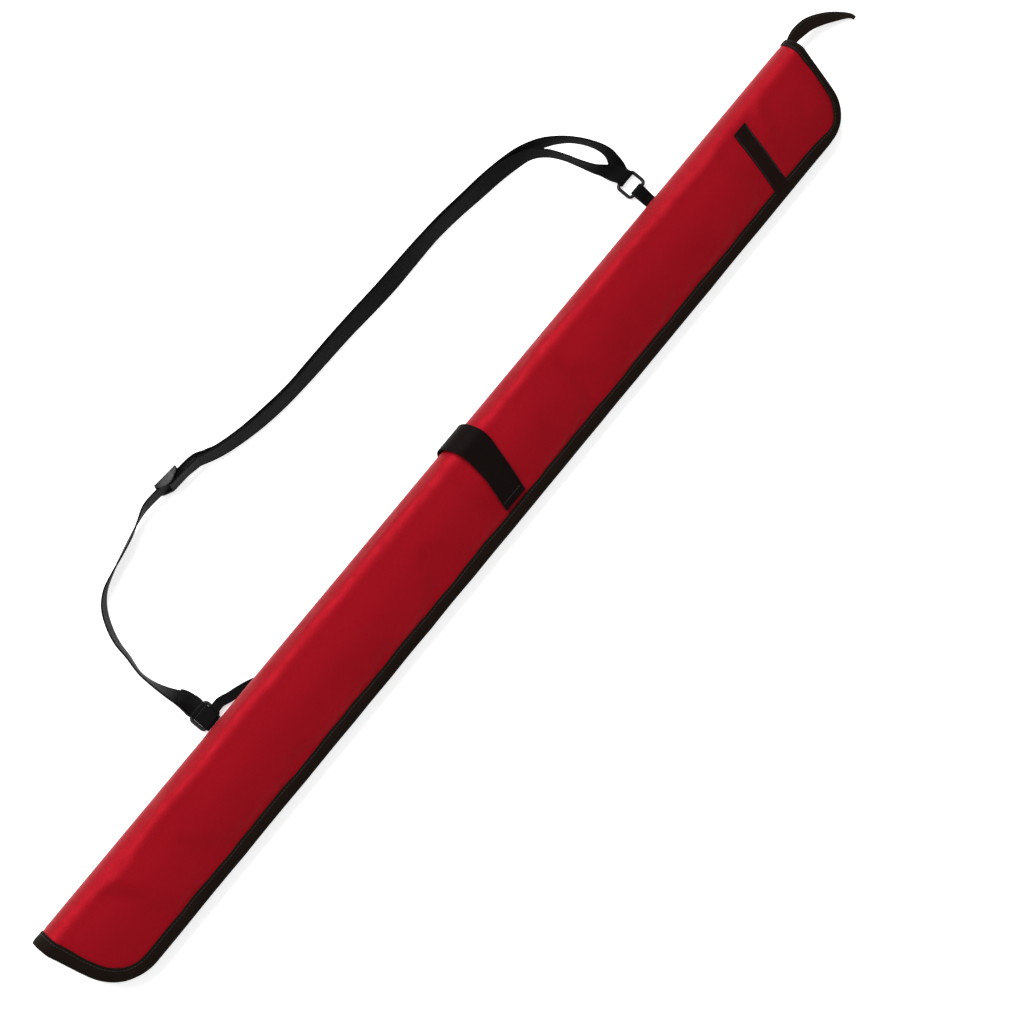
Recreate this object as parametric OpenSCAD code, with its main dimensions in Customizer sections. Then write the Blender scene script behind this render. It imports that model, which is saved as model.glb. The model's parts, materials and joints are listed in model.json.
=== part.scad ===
// Slim padded fabric case with a folded spine, bound edges, a zip, a hook-and-loop band
// and an adjustable shoulder strap. It lies on its back panel: X runs along the case towards
// the top end, Y towards the folded spine and the strap, Z up. Origin: middle of the back panel.

/* [Case] */
// Overall length of the case
case_length = 1000; // [900:10:1100]
// Distance from the bound edge to the centre line
half_width = 44; // [44:1:48]
// Outer radius of the folded spine, half of its height
fold_radius = 15; // [14:0.5:16]
// Slope of the front panel down to the bound edge, in degrees
front_slope = 9.5; // [8:0.5:10]

/* [Panel layers] */
// Outer fabric thickness
fabric_t = 1.0; // [0.8:0.1:1.2]
// Foam padding thickness
foam_t = 3.0; // [2.8:0.1:3.2]
// Lining thickness
lining_t = 0.8; // [0.6:0.1:1.0]
// Visible width of the binding tape
binding_w = 11; // [9:0.5:12]
// Thickness of the binding tape
tape_t = 0.8; // [0.6:0.1:0.8]

/* [Zip] */
// Distance of the zip from the outline of the case
zip_inset = 5.5; // [5.5:0.1:6]
// Thickness of each row of teeth
teeth_t = 2.0; // [1.6:0.1:2.2]
// Height of each row of teeth
teeth_h = 1.8; // [1.4:0.1:2.0]
// Place of the slider along the case when the zip is shut
slider_x = 440; // [400:5:440]

/* [Closure band] */
// Width of the hook-and-loop band
band_w = 25; // [20:1:25]
// Place of the band along the case
band_x = 42; // [-100:1:150]
// Angle of the band's loose end across the front, in degrees
band_skew = 9; // [0:1:12]
// Thickness of the band webbing
band_t = 1.2; // [1:0.1:1.4]

/* [Shoulder strap] */
// Width of the strap webbing
strap_w = 18; // [16:1:18]
// Thickness of the strap webbing
strap_t = 1.4; // [1.2:0.1:1.4]
// Radius of the plastic the rings are moulded from
ring_r = 1.6; // [1.4:0.1:1.6]
// Width of a ring between its bar centres
ring_w = 19.5; // [19:0.5:20]
// Depth of a ring between its bar centres
ring_d = 15; // [14.5:0.5:15]

/* [Hidden] */
$fn = 48;

panel_t = fabric_t + foam_t + lining_t;
half_l = case_length / 2;
fold_y = half_width - fold_radius;                       // centre line of the folded spine
hinge_y = fold_y - fold_radius * sin(front_slope);       // outer edge where the front starts
hinge_z = fold_radius + fold_radius * cos(front_slope);
front_w = (hinge_y + half_width) / cos(front_slope);     // front panel, hinge to bound edge
edge_gap_top = hinge_z - (hinge_y + half_width) * tan(front_slope) - panel_t / cos(front_slope);
mid_z = (panel_t + edge_gap_top) / 2;                    // height of the zip at the bound edge
body_gap = 0.3;                                          // clearance between moving bodies
eps = 0.01;
corner_bottom = 45;                                      // corner radius at the bottom end
corner_top = 36;                                         // corner radius at the top end
rake_bottom = 7;                                         // lean of the bottom end edge
rake_top = 9;                                            // lean of the top end edge
foam_inset = tape_t + 0.4;
red = [0.70, 0.08, 0.13];
foam_grey = [0.45, 0.45, 0.47];
lining_black = [0.12, 0.12, 0.13];
binding_black = [0.09, 0.07, 0.06];
webbing_black = [0.11, 0.11, 0.12];
plastic_black = [0.05, 0.05, 0.055];
zinc = [0.22, 0.22, 0.23];

// ---- Outline of a panel: raked ends, round corners on the bound side ----

module outline(edge_y, spine_y, inset) {
    offset(r = -inset) hull() {
        translate([-half_l, spine_y]) square([case_length, 60]);
        translate([-half_l + rake_bottom + corner_bottom, edge_y + corner_bottom])
            circle(r = corner_bottom, $fn = 72);
        translate([half_l - rake_top - corner_top, edge_y + corner_top])
            circle(r = corner_top, $fn = 72);
    }
}

// The outline cut off along the line where the panel meets the folded spine
module panel_2d(edge_y, spine_y, end_y, inset) {
    intersection() {
        outline(edge_y, spine_y, inset);
        translate([-half_l - 5, edge_y - 5]) square([case_length + 10, end_y - edge_y + 5]);
    }
}

module edge_strip_2d(edge_y, spine_y, end_y, inset_out, inset_in) {
    difference() {
        panel_2d(edge_y, spine_y, end_y, inset_out);
        outline(edge_y, spine_y, inset_in);
    }
}

module slab(z0, z1) {
    translate([0, 0, z0]) linear_extrude(height = z1 - z0) children();
}

// Bound edge: a U of tape round the three free sides of one panel
module binding(edge_y, spine_y, end_y) {
    difference() {
        slab(0, panel_t) edge_strip_2d(edge_y, spine_y, end_y, 0, binding_w);
        slab(tape_t, panel_t - tape_t)
            edge_strip_2d(edge_y, spine_y, end_y + 1, tape_t, binding_w + 1);
    }
}

// ---- Back panel, flat on the ground ----

module back_outer() {
    color(red) slab(0, fabric_t) panel_2d(-half_width, hinge_y, fold_y, binding_w);
}

module back_foam() {
    color(foam_grey) slab(fabric_t, fabric_t + foam_t) panel_2d(-half_width, hinge_y, fold_y, foam_inset);
}

module back_lining() {
    color(lining_black) slab(fabric_t + foam_t, panel_t) panel_2d(-half_width, hinge_y, fold_y, binding_w);
}

module back_binding() {
    color(binding_black) binding(-half_width, hinge_y, fold_y);
}

// ---- Folded spine ----

// Part of a turn round the spine's centre line, between two radii and two angles
module arc_2d(r_in, r_out, a0, a1) {
    reach = 3 * r_out;
    middle = (a0 + a1) / 2;
    intersection() {
        difference() {
            circle(r = r_out);
            circle(r = r_in);
        }
        polygon([[0, 0], reach * [cos(a0), sin(a0)],
            reach * [cos(a0 * 0.67 + a1 * 0.33), sin(a0 * 0.67 + a1 * 0.33)],
            reach * [cos(middle), sin(middle)],
            reach * [cos(a0 * 0.33 + a1 * 0.67), sin(a0 * 0.33 + a1 * 0.67)],
            reach * [cos(a1), sin(a1)]]);
    }
}

module fold_arc(r_in, r_out, a0, a1, x0, x1) {
    translate([x0, fold_y, fold_radius]) rotate([90, 0, 90])
        linear_extrude(height = x1 - x0) arc_2d(r_in, r_out, a0, a1);
}

fold_start = -90;
fold_stop = 90 + front_slope;

module fold_outer() {
    color(red) fold_arc(fold_radius - fabric_t, fold_radius, fold_start, fold_stop,
        -half_l + binding_w, half_l - binding_w);
}

module fold_foam() {
    color(foam_grey) fold_arc(fold_radius - fabric_t - foam_t, fold_radius - fabric_t,
        fold_start, fold_stop, -half_l + foam_inset, half_l - foam_inset);
}

module fold_lining() {
    color(lining_black) fold_arc(fold_radius - panel_t, fold_radius - fabric_t - foam_t,
        fold_start, fold_stop, -half_l + binding_w, half_l - binding_w);
}

// Tape over both ends of the spine
module fold_binding() {
    color(binding_black) for (side = [0, 1]) mirror([side, 0, 0]) difference() {
        fold_arc(fold_radius - panel_t, fold_radius, fold_start, fold_stop,
            half_l - binding_w, half_l);
        fold_arc(fold_radius - panel_t + tape_t, fold_radius - tape_t, fold_start - 5,
            fold_stop + 5, half_l - binding_w - 1, half_l - tape_t);
    }
}

// ---- Front panel, hinged along the spine ----

// Puts a shape drawn flat, with its outer face at z = 0, onto the front panel
module on_front() {
    translate([0, hinge_y, hinge_z]) rotate([front_slope, 0, 0]) children();
}

module front_outer() {
    color(red) on_front() slab(-fabric_t, 0) panel_2d(-front_w, 0, -body_gap, binding_w);
}

module front_foam() {
    color(foam_grey) on_front() slab(-fabric_t - foam_t, -fabric_t)
        panel_2d(-front_w, 0, -body_gap, foam_inset);
}

module front_lining() {
    color(lining_black) on_front() slab(-panel_t, -fabric_t - foam_t)
        panel_2d(-front_w, 0, -body_gap, binding_w);
}

module front_binding() {
    color(binding_black) on_front() translate([0, 0, -panel_t]) binding(-front_w, 0, -body_gap);
}

// ---- Zip between the two bound edges ----

zip_end_y = 22;                                  // the zip stops short of the spine

// Everything between two heights measured from the middle plane of the zip
module zip_layer(low, high) {
    translate([0, -half_width, mid_z]) rotate([front_slope / 2, 0, 0])
        translate([-half_l - 5, -5, low]) cube([case_length + 10, 2 * half_width, high - low]);
}

module zip_wall(inset_out, inset_in, low, high, z0, z1) {
    intersection() {
        slab(z0, z1) edge_strip_2d(-half_width, hinge_y, zip_end_y, inset_out, inset_in);
        zip_layer(low, high);
    }
}

teeth_gap = 0.6;                                 // half of the gap between the rows of teeth
tape_half = 0.4;

module back_zip_teeth() {
    color(zinc) zip_wall(zip_inset - teeth_t / 2, zip_inset + teeth_t / 2,
        -teeth_gap - teeth_h, -teeth_gap, panel_t, 40);
}

module front_zip_teeth() {
    color(zinc) zip_wall(zip_inset - teeth_t / 2, zip_inset + teeth_t / 2,
        teeth_gap, teeth_gap + teeth_h, panel_t, 40);
}

module back_zip_tape() {
    color(binding_black) zip_wall(zip_inset - tape_half, zip_inset + tape_half,
        -40, -teeth_gap - teeth_h, panel_t, 40);
}

// The tape on the front side ends on the inner face of the front panel
module front_zip_tape() {
    color(binding_black) difference() {
        zip_wall(zip_inset - tape_half, zip_inset + tape_half,
            teeth_gap + teeth_h, 40, panel_t, 40);
        on_front() translate([-half_l - 5, -2 * front_w, -panel_t])
            cube([case_length + 10, 3 * front_w, 40]);
    }
}

// Metal staples that end the row of teeth by the spine
module zip_stops() {
    stop_x = half_l - zip_inset - 1;
    stop_z = mid_z + (zip_end_y + half_width) * tan(front_slope / 2) - teeth_gap - teeth_h / 2;
    color(zinc) for (side = [-1, 1]) translate([side * stop_x - 1.5, zip_end_y, stop_z - 1.2])
        cube([3, 2.5, 2.4]);
}

zip_y = -half_width + zip_inset;
zip_z = mid_z + zip_inset * tan(front_slope / 2);
plate_gap = teeth_t / 2 + 0.4;
plate_t = 1.1;
slider_l = 11;
slider_h = 6.4;
pin_y = zip_y - plate_gap - plate_t - 1.5;
pull_pin_r = 0.6;

module zip_slider() {
    color(plastic_black) translate([slider_x, zip_y, zip_z]) {
        for (side = [-1, 1])
            translate([-slider_l / 2, side * (plate_gap + plate_t / 2) - plate_t / 2, -slider_h / 2])
                cube([slider_l, plate_t, slider_h]);
        translate([slider_l / 2 - 3, -plate_gap - eps, -teeth_gap / 2])
            cube([3, 2 * plate_gap + 2 * eps, teeth_gap]);
        // Two lugs that hold the pin of the pull
        for (side = [-1, 1]) difference() {
            translate([0, -plate_gap - plate_t - 2.5, side * 2.35 - 0.55]) cube([3, 2.5 + eps, 1.1]);
            translate([1.5, pin_y - zip_y, side * 2.35 - 1]) cylinder(r = pull_pin_r, h = 2);
        }
    }
}

module zip_pull_pin() {
    color(zinc) translate([slider_x + 1.5, pin_y, zip_z - 2.9]) cylinder(r = pull_pin_r, h = 5.8);
}

// Flat pull tab with an eye round the pin, lying along the zip
module zip_pull() {
    color(plastic_black) translate([slider_x + 1.5, pin_y, zip_z]) difference() {
        union() {
            translate([0, 0, -1.5]) cylinder(r = 1.35, h = 3);
            translate([-14, -0.6, -1.5]) cube([14, 1.0, 3]);
            translate([-24, -0.6, -2.4]) cube([12, 1.0, 4.8]);
        }
        translate([0, 0, -2]) cylinder(r = pull_pin_r + 0.12, h = 4);
    }
}

// ---- Hook-and-loop band over the spine ----

band_rise = 1.6;                                  // slack between the spine and the band
band_flap_from = 9;                               // start of the loose end past the hinge
band_flap_to = 57;                                // square-cut end short of the binding
patch_from = 26;
patch_t = 1.0;
hook_z = patch_t + body_gap;

module band_root() {
    color(webbing_black) {
        fold_arc(fold_radius + band_rise, fold_radius + band_rise + band_t, -46, 60,
            band_x - band_w / 2, band_x + band_w / 2);
        fold_arc(fold_radius, fold_radius + band_rise + band_t, -54, -44,
            band_x - band_w / 2, band_x + band_w / 2);
    }
}

module on_band(from, to, width, z0, z1) {
    on_front() translate([band_x + 3, -band_flap_from, 0]) rotate([0, 0, -band_skew])
        translate([-width / 2, band_flap_from - to, z0]) cube([width, to - from, z1 - z0]);
}

module loop_patch() {
    color(webbing_black) on_band(patch_from, band_flap_to - 1, band_w - 3, 0, patch_t);
}

module hook_patch() {
    color(webbing_black) on_band(patch_from, band_flap_to - 1, band_w - 3, hook_z, hook_z + patch_t);
}

module band_end() {
    color(webbing_black) on_band(band_flap_from, band_flap_to, band_w,
        hook_z + patch_t, hook_z + patch_t + band_t);
}

// ---- Woven label, plain, sewn in under the binding near the top end ----

label_l = 58;
label_w = 15.5;
label_skew = 13;

module label() {
    color(binding_black) on_front() translate([410, -3, 0]) rotate([0, 0, -label_skew])
        translate([-label_w / 2, -label_l, 0]) cube([label_w, label_l, 0.8]);
}

// ---- Rings and their webbing tabs beside the spine ----

ring_z = 3.4;
ring_corner = 3;
loop_wall = 1.2;
loop_half = ring_r + 0.5;                         // half the height inside a webbing loop
upper_loop_w = 15.4;
lower_loop_w = 13.6;
upper_x = 314;
upper_y = 59;
lower_x = -270;
lower_y = 47.3;
upper_tab_w = 11.5;
lower_tab_w = 8.0;

// Rounded outline a given distance outside the ring's bar centres
module ring_outline(grow) {
    offset(r = ring_corner + grow)
        square([ring_w - 2 * ring_corner, ring_d - 2 * ring_corner], center = true);
}

// Moulded ring lying flat, centred on the origin, with a step along its edges
module moulded_ring() {
    for (layer = [[ring_r, 0.7 * ring_r], [0.7 * ring_r, ring_r]])
        translate([0, 0, -layer[1]]) linear_extrude(height = 2 * layer[1]) difference() {
            ring_outline(layer[0]);
            ring_outline(-layer[0]);
        }
}

// Webbing doubled round a bar at the origin, running towards +X for a length, closed there
module webbing_loop(length, width) {
    rotate([90, 0, 0]) translate([0, 0, -width / 2]) linear_extrude(height = width) difference() {
        union() {
            circle(r = loop_half + loop_wall);
            translate([0, -loop_half - loop_wall]) square([length, 2 * (loop_half + loop_wall)]);
        }
        circle(r = loop_half);
        translate([0, -loop_half]) square([length - 2, 2 * loop_half]);
    }
}

tab_top = 2 * loop_wall + 0.1;

module upper_tab() {
    color(webbing_black) {
        translate([upper_x, upper_y, ring_z]) rotate([0, 0, -90]) webbing_loop(12, upper_tab_w);
        translate([upper_x - upper_tab_w / 2, 34, 0.1]) cube([upper_tab_w, 14, tab_top - 0.1]);
    }
}

module lower_tab() {
    tab_y = lower_y + ring_d / 2;
    color(webbing_black) {
        translate([lower_x + ring_w / 2, tab_y, ring_z]) webbing_loop(10, lower_tab_w);
        translate([0, 0, 0.1]) linear_extrude(height = tab_top - 0.1)
            polygon([[-252, tab_y - 4], [-252, tab_y + 4], [-240, 56], [-226, 49], [-212, 36],
                [-212, 34], [-226, 34], [-238, 45]]);
    }
}

module upper_ring() {
    color(plastic_black) translate([upper_x, upper_y + ring_d / 2, ring_z]) moulded_ring();
}

module lower_ring() {
    color(plastic_black) translate([lower_x, lower_y + ring_d / 2, ring_z]) moulded_ring();
}

module upper_strap_turn() {
    color(webbing_black) translate([upper_x, upper_y + ring_d, ring_z]) rotate([0, 0, 90])
        webbing_loop(12, upper_loop_w);
}

module lower_strap_loop() {
    color(webbing_black) translate([lower_x - 1, lower_y, ring_z]) rotate([0, 0, 90])
        webbing_loop(20.5, lower_loop_w);
}

// ---- Shoulder strap, lying on the ground partly on its edge ----

// Each point: x, y, height of the lower edge, lean of the webbing from flat in degrees
main_route = [[-270, 71, 1.6, 12], [-272, 80, 0.8, 42], [-275, 92, 0.2, 62], [-277, 105, 0.2, 76],
    [-277, 119, 0.2, 82], [-273, 134, 0.2, 79], [-270, 148, 0.2, 76], [-264, 162, 0.2, 73],
    [-255, 175, 0.2, 70], [-243, 184, 0.2, 74], [-228, 189, 0.2, 80], [-211, 193, 0.6, 85],
    [-194, 197, 2.0, 86], [-181, 200.6, 3.4, 82], [-166, 203.4, 4.4, 76], [-140, 201.5, 4.4, 76],
    [-114, 199.5, 4.4, 76], [-103, 194, 3.2, 72], [-91, 188, 1.6, 67], [-68, 182, 0.4, 63],
    [-42, 178, 0.2, 62], [-14, 175, 0.2, 60], [14, 174.5, 0.2, 58], [42, 174, 0.2, 55],
    [70, 173, 0.2, 52], [98, 171.5, 0.2, 48], [126, 171, 0.2, 48], [154, 171, 0.2, 54],
    [182, 170, 0.2, 58], [208, 167, 0.2, 55], [232, 164, 0.2, 50], [254, 160, 0.2, 46],
    [272, 156, 0.2, 42], [289, 149, 0.2, 44], [302, 139, 0.2, 52], [312, 127, 0.2, 62],
    [319, 113, 0.2, 66], [322, 100, 0.2, 55], [320, 89, 0.2, 25]];
return_route = [[-110, 194, 4.8, 72], [-96, 188, 3.2, 68], [-79, 183, 1.8, 64],
    [-54, 177.5, 1.4, 62], [-28, 174, 1.4, 61], [0, 172.5, 1.5, 59], [28, 172, 1.5, 56],
    [56, 171.5, 1.6, 53], [84, 170, 1.7, 50], [112, 169, 1.7, 48], [140, 169, 1.6, 51],
    [168, 168.5, 1.5, 56], [195, 166, 1.5, 57], [220, 163, 1.6, 52], [243, 160, 1.7, 48],
    [262, 155, 1.8, 44], [276, 149, 1.9, 44], [286, 139, 1.4, 52], [293, 126, 0.8, 62],
    [298, 112, 0.2, 66], [303, 99, 0.4, 55], [309, 89, 2.6, 25]];

function centre(p) = [p[0], p[1], p[2] + strap_w / 2 * sin(p[3]) + strap_t / 2 * cos(p[3])];
function unit(v) = v / norm(v);
function heading(route, i) = unit(centre(route[min(i + 1, len(route) - 1)])
    - centre(route[max(i - 1, 0)]));
function across(t, lean) = unit([-t[1], t[0], 0]) * cos(lean) + [0, 0, 1] * sin(lean);
// Eight corners of flat webbing with thinned edges, as shares of its half width and half thickness
section = [[-1, -0.4], [-0.9, -1], [0.9, -1], [1, -0.4], [1, 0.4], [0.9, 1], [-0.9, 1], [-1, 0.4]];
function section_at(route, i) = let (t = heading(route, i), w = across(t, route[i][3]),
    n = unit(cross(t, w))) [for (s = section)
        centre(route[i]) + w * s[0] * strap_w / 2 + n * s[1] * strap_t / 2];

module webbing_run(route) {
    sides = len(section);
    last = len(route) - 1;
    points = [for (i = [0:last]) each section_at(route, i)];
    walls = [for (i = [0:last - 1], k = [0:sides - 1]) let (a = i * sides + k,
        b = i * sides + (k + 1) % sides) each [[a, b, b + sides], [a, b + sides, a + sides]]];
    near_cap = [for (k = [sides - 1:-1:0]) k];
    far_cap = [for (k = [0:sides - 1]) last * sides + k];
    polyhedron(points, concat([near_cap, far_cap], walls), convexity = 6);
}

module strap_main() {
    color(webbing_black) webbing_run(main_route);
}

module strap_return() {
    color(webbing_black) webbing_run(return_route);
}

// ---- Three-bar adjuster, riding on the strap ----

adjuster_x = -140;
adjuster_y = 201.5;
adjuster_yaw = -4.3;
adjuster_lean = 76;
adjuster_base = 4.4;                              // height of the strap's lower edge there
adjuster_l = 25;
adjuster_w = 25;
rail_w = 2.6;
bar_t = 2;
bar_clear = strap_t / 2 + 0.6;
sewn_t = 0.8;                                     // thickness of the sewn end round the bar
sewn_gap = 0.1;
centre_bar_z = strap_t / 2 + 0.4 + bar_t / 2 + sewn_gap + sewn_t;

module on_adjuster() {
    translate([adjuster_x, adjuster_y, adjuster_base + strap_w / 2 * sin(adjuster_lean)
        + strap_t / 2 * cos(adjuster_lean)]) rotate([0, 0, adjuster_yaw])
        rotate([adjuster_lean, 0, 0]) children();
}

module adjuster() {
    color(plastic_black) on_adjuster() {
        for (side = [-1, 1]) {
            // Side rails tie the outer bars to the centre bar
            translate([-adjuster_l / 2, side * (adjuster_w - rail_w) / 2 - rail_w / 2,
                -bar_clear - bar_t]) cube([adjuster_l, rail_w, bar_t]);
            translate([-2.2, side * (adjuster_w - rail_w) / 2 - rail_w / 2, -bar_clear - eps])
                cube([4.4, rail_w, bar_clear + centre_bar_z + bar_t / 2 + eps]);
            translate([side * (adjuster_l - 4) / 2, -adjuster_w / 2 + eps, -bar_clear - bar_t / 2])
                rotate([-90, 0, 0]) cylinder(r = bar_t / 2, h = adjuster_w - 2 * eps);
        }
        translate([0, -adjuster_w / 2 + eps, centre_bar_z]) rotate([-90, 0, 0])
            cylinder(r = bar_t / 2, h = adjuster_w - 2 * eps);
    }
}

// Strap end sewn round the centre bar, running towards the doubled part
module strap_sewn_end() {
    sewn_w = 15.4;
    inner = bar_t / 2 + sewn_gap;
    outer = inner + sewn_t;
    color(webbing_black) on_adjuster() translate([0, 0, centre_bar_z]) rotate([90, 0, 0])
        translate([0, 0, -sewn_w / 2]) linear_extrude(height = sewn_w) difference() {
            union() {
                circle(r = outer);
                translate([0, -0.2]) square([12, outer + 0.2]);
            }
            circle(r = inner);
        }
}

// ---- Tail of binding tape left as a hanging tab at the top corner ----

tab_root_y = 38;
tab_drop = 13;
tab_base = 17.3;
tab_t = 1.8;

// Flat tape with one long bend, drawn from its root towards its tip
module hanging_tab() {
    color(binding_black) translate([half_l + 0.6, tab_root_y, tab_base]) rotate([0, tab_drop, 0])
        translate([0, 0, -tab_t]) linear_extrude(height = tab_t)
            polygon([[0, -3], [0, 6], [8, 7.5], [16, 7], [26, 3], [36, -5], [46, -14], [56, -24],
                [59, -29], [56, -31.5], [51, -29], [43, -22], [34, -13], [24, -6], [14, -2],
                [8, -2.2]]);
}

back_outer();
back_foam();
back_lining();
fold_outer();
fold_foam();
fold_lining();
front_outer();
front_foam();
front_lining();
back_binding();
fold_binding();
front_binding();
back_zip_tape();
front_zip_tape();
back_zip_teeth();
front_zip_teeth();
zip_stops();
zip_slider();
zip_pull_pin();
zip_pull();
band_root();
band_end();
hook_patch();
loop_patch();
label();
lower_tab();
upper_tab();
lower_ring();
upper_ring();
lower_strap_loop();
upper_strap_turn();
strap_main();
strap_return();
strap_sewn_end();
adjuster();
hanging_tab();
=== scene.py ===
"""Looks of a slim padded case and its shoulder strap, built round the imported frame.

Lengths are in metres. X runs along the case to its top end, Y towards the folded spine and
the strap, Z up. A panel is described as flat cloth: x along the case, q across it (towards
the spine) and a depth below its outer face.
"""

import json
import logging
import math
import sys
from dataclasses import dataclass
from enum import Enum
from typing import List, Optional, Sequence, Tuple

import bmesh
import bpy
import numpy as np
from mathutils import Matrix, Vector


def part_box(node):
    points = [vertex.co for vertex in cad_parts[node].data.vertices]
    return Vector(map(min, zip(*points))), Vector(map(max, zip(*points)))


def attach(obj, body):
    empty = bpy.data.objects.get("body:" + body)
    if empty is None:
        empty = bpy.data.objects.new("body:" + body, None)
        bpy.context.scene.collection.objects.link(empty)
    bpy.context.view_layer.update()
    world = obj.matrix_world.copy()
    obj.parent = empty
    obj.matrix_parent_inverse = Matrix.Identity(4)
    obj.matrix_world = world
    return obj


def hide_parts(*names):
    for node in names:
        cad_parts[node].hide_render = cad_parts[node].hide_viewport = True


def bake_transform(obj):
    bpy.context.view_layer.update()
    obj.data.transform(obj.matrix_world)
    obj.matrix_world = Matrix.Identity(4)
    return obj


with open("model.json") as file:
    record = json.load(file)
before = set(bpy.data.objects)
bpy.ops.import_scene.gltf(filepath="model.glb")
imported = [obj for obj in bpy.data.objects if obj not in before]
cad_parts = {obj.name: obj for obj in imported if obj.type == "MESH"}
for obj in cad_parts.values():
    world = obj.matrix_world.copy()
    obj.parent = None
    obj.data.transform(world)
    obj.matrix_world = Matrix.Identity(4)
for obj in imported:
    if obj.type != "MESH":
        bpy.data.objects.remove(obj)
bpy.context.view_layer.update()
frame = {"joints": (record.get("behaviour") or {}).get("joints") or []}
LOG = logging.getLogger("case")
MM = 0.001
Point = Tuple[float, float, float]
Colour = Tuple[float, float, float]


def smoothstep(low: float, high: float, value: np.ndarray) -> np.ndarray:
    """Smooth rise from 0 at low to 1 at high."""
    t = np.clip((np.asarray(value, float) - low) / (high - low), 0.0, 1.0)
    return t * t * (3 - 2 * t)


def unit(vectors: np.ndarray) -> np.ndarray:
    """Vectors scaled to length 1."""
    return vectors / np.maximum(np.linalg.norm(vectors, axis=-1, keepdims=True), 1e-12)


def tangents(points: np.ndarray) -> np.ndarray:
    """Unit directions along a line of points."""
    return unit(np.gradient(points, axis=0))


def arc_lengths(points: np.ndarray) -> np.ndarray:
    """Distance along a line of points, from its first."""
    steps = np.linalg.norm(np.diff(points, axis=0), axis=1)
    return np.concatenate([[0.0], np.cumsum(steps)])


def at_marks(marks: np.ndarray, along: np.ndarray, rows: np.ndarray) -> np.ndarray:
    """Rows read at marks, where along gives each row's distance."""
    return np.column_stack([np.interp(marks, along, column) for column in rows.T])


def turns(count: int) -> np.ndarray:
    """Angles of a full turn, evenly spaced."""
    return np.arange(count) * 2 * math.pi / count


def resample(points: np.ndarray, step: float) -> np.ndarray:
    """Smooth curve through given points, with one row about every step.

    Args:
        points: Rows whose first three values are a place; any more are carried along.
        step: Distance between rows of the result.

    Returns:
        Rows of the same width as points.
    """
    padded = np.vstack([2 * points[0] - points[1], points, 2 * points[-1] - points[-2]])
    dense = []
    for i in range(1, len(padded) - 2):
        p0, p1, p2, p3 = padded[i - 1 : i + 3]
        t = np.linspace(0, 1, 24, endpoint=False)[:, None]
        dense.append(
            0.5 * (2 * p1 + (p2 - p0) * t + (2 * p0 - 5 * p1 + 4 * p2 - p3) * t**2
                   + (3 * p1 - p0 - 3 * p2 + p3) * t**3)
        )
    dense = np.vstack(dense + [points[-1:]])
    along = arc_lengths(dense[:, :3])
    count = max(2, int(round(along[-1] / step)) + 1)
    marks = np.linspace(0, along[-1], count)
    return at_marks(marks, along, dense)


@dataclass(frozen=True)
class Ripple:
    """Smooth uneven wave along a line, the same on each run."""

    seed: int
    shortest: float
    longest: float
    waves: int = 7

    def at(self, place: np.ndarray) -> np.ndarray:
        """Height of the wave, about -1 to 1.

        Args:
            place: Distances along the line.

        Returns:
            One height for each distance.
        """
        draw = np.random.default_rng(self.seed)
        lengths = np.exp(draw.uniform(math.log(self.shortest), math.log(self.longest), self.waves))
        phases = draw.uniform(0, 2 * math.pi, self.waves)
        place = np.asarray(place, float)
        total = sum(np.sin(2 * math.pi * place / n + p) for n, p in zip(lengths, phases))
        return total / math.sqrt(self.waves * 2)


# ---------------------------------------------------------------- finishes


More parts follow.
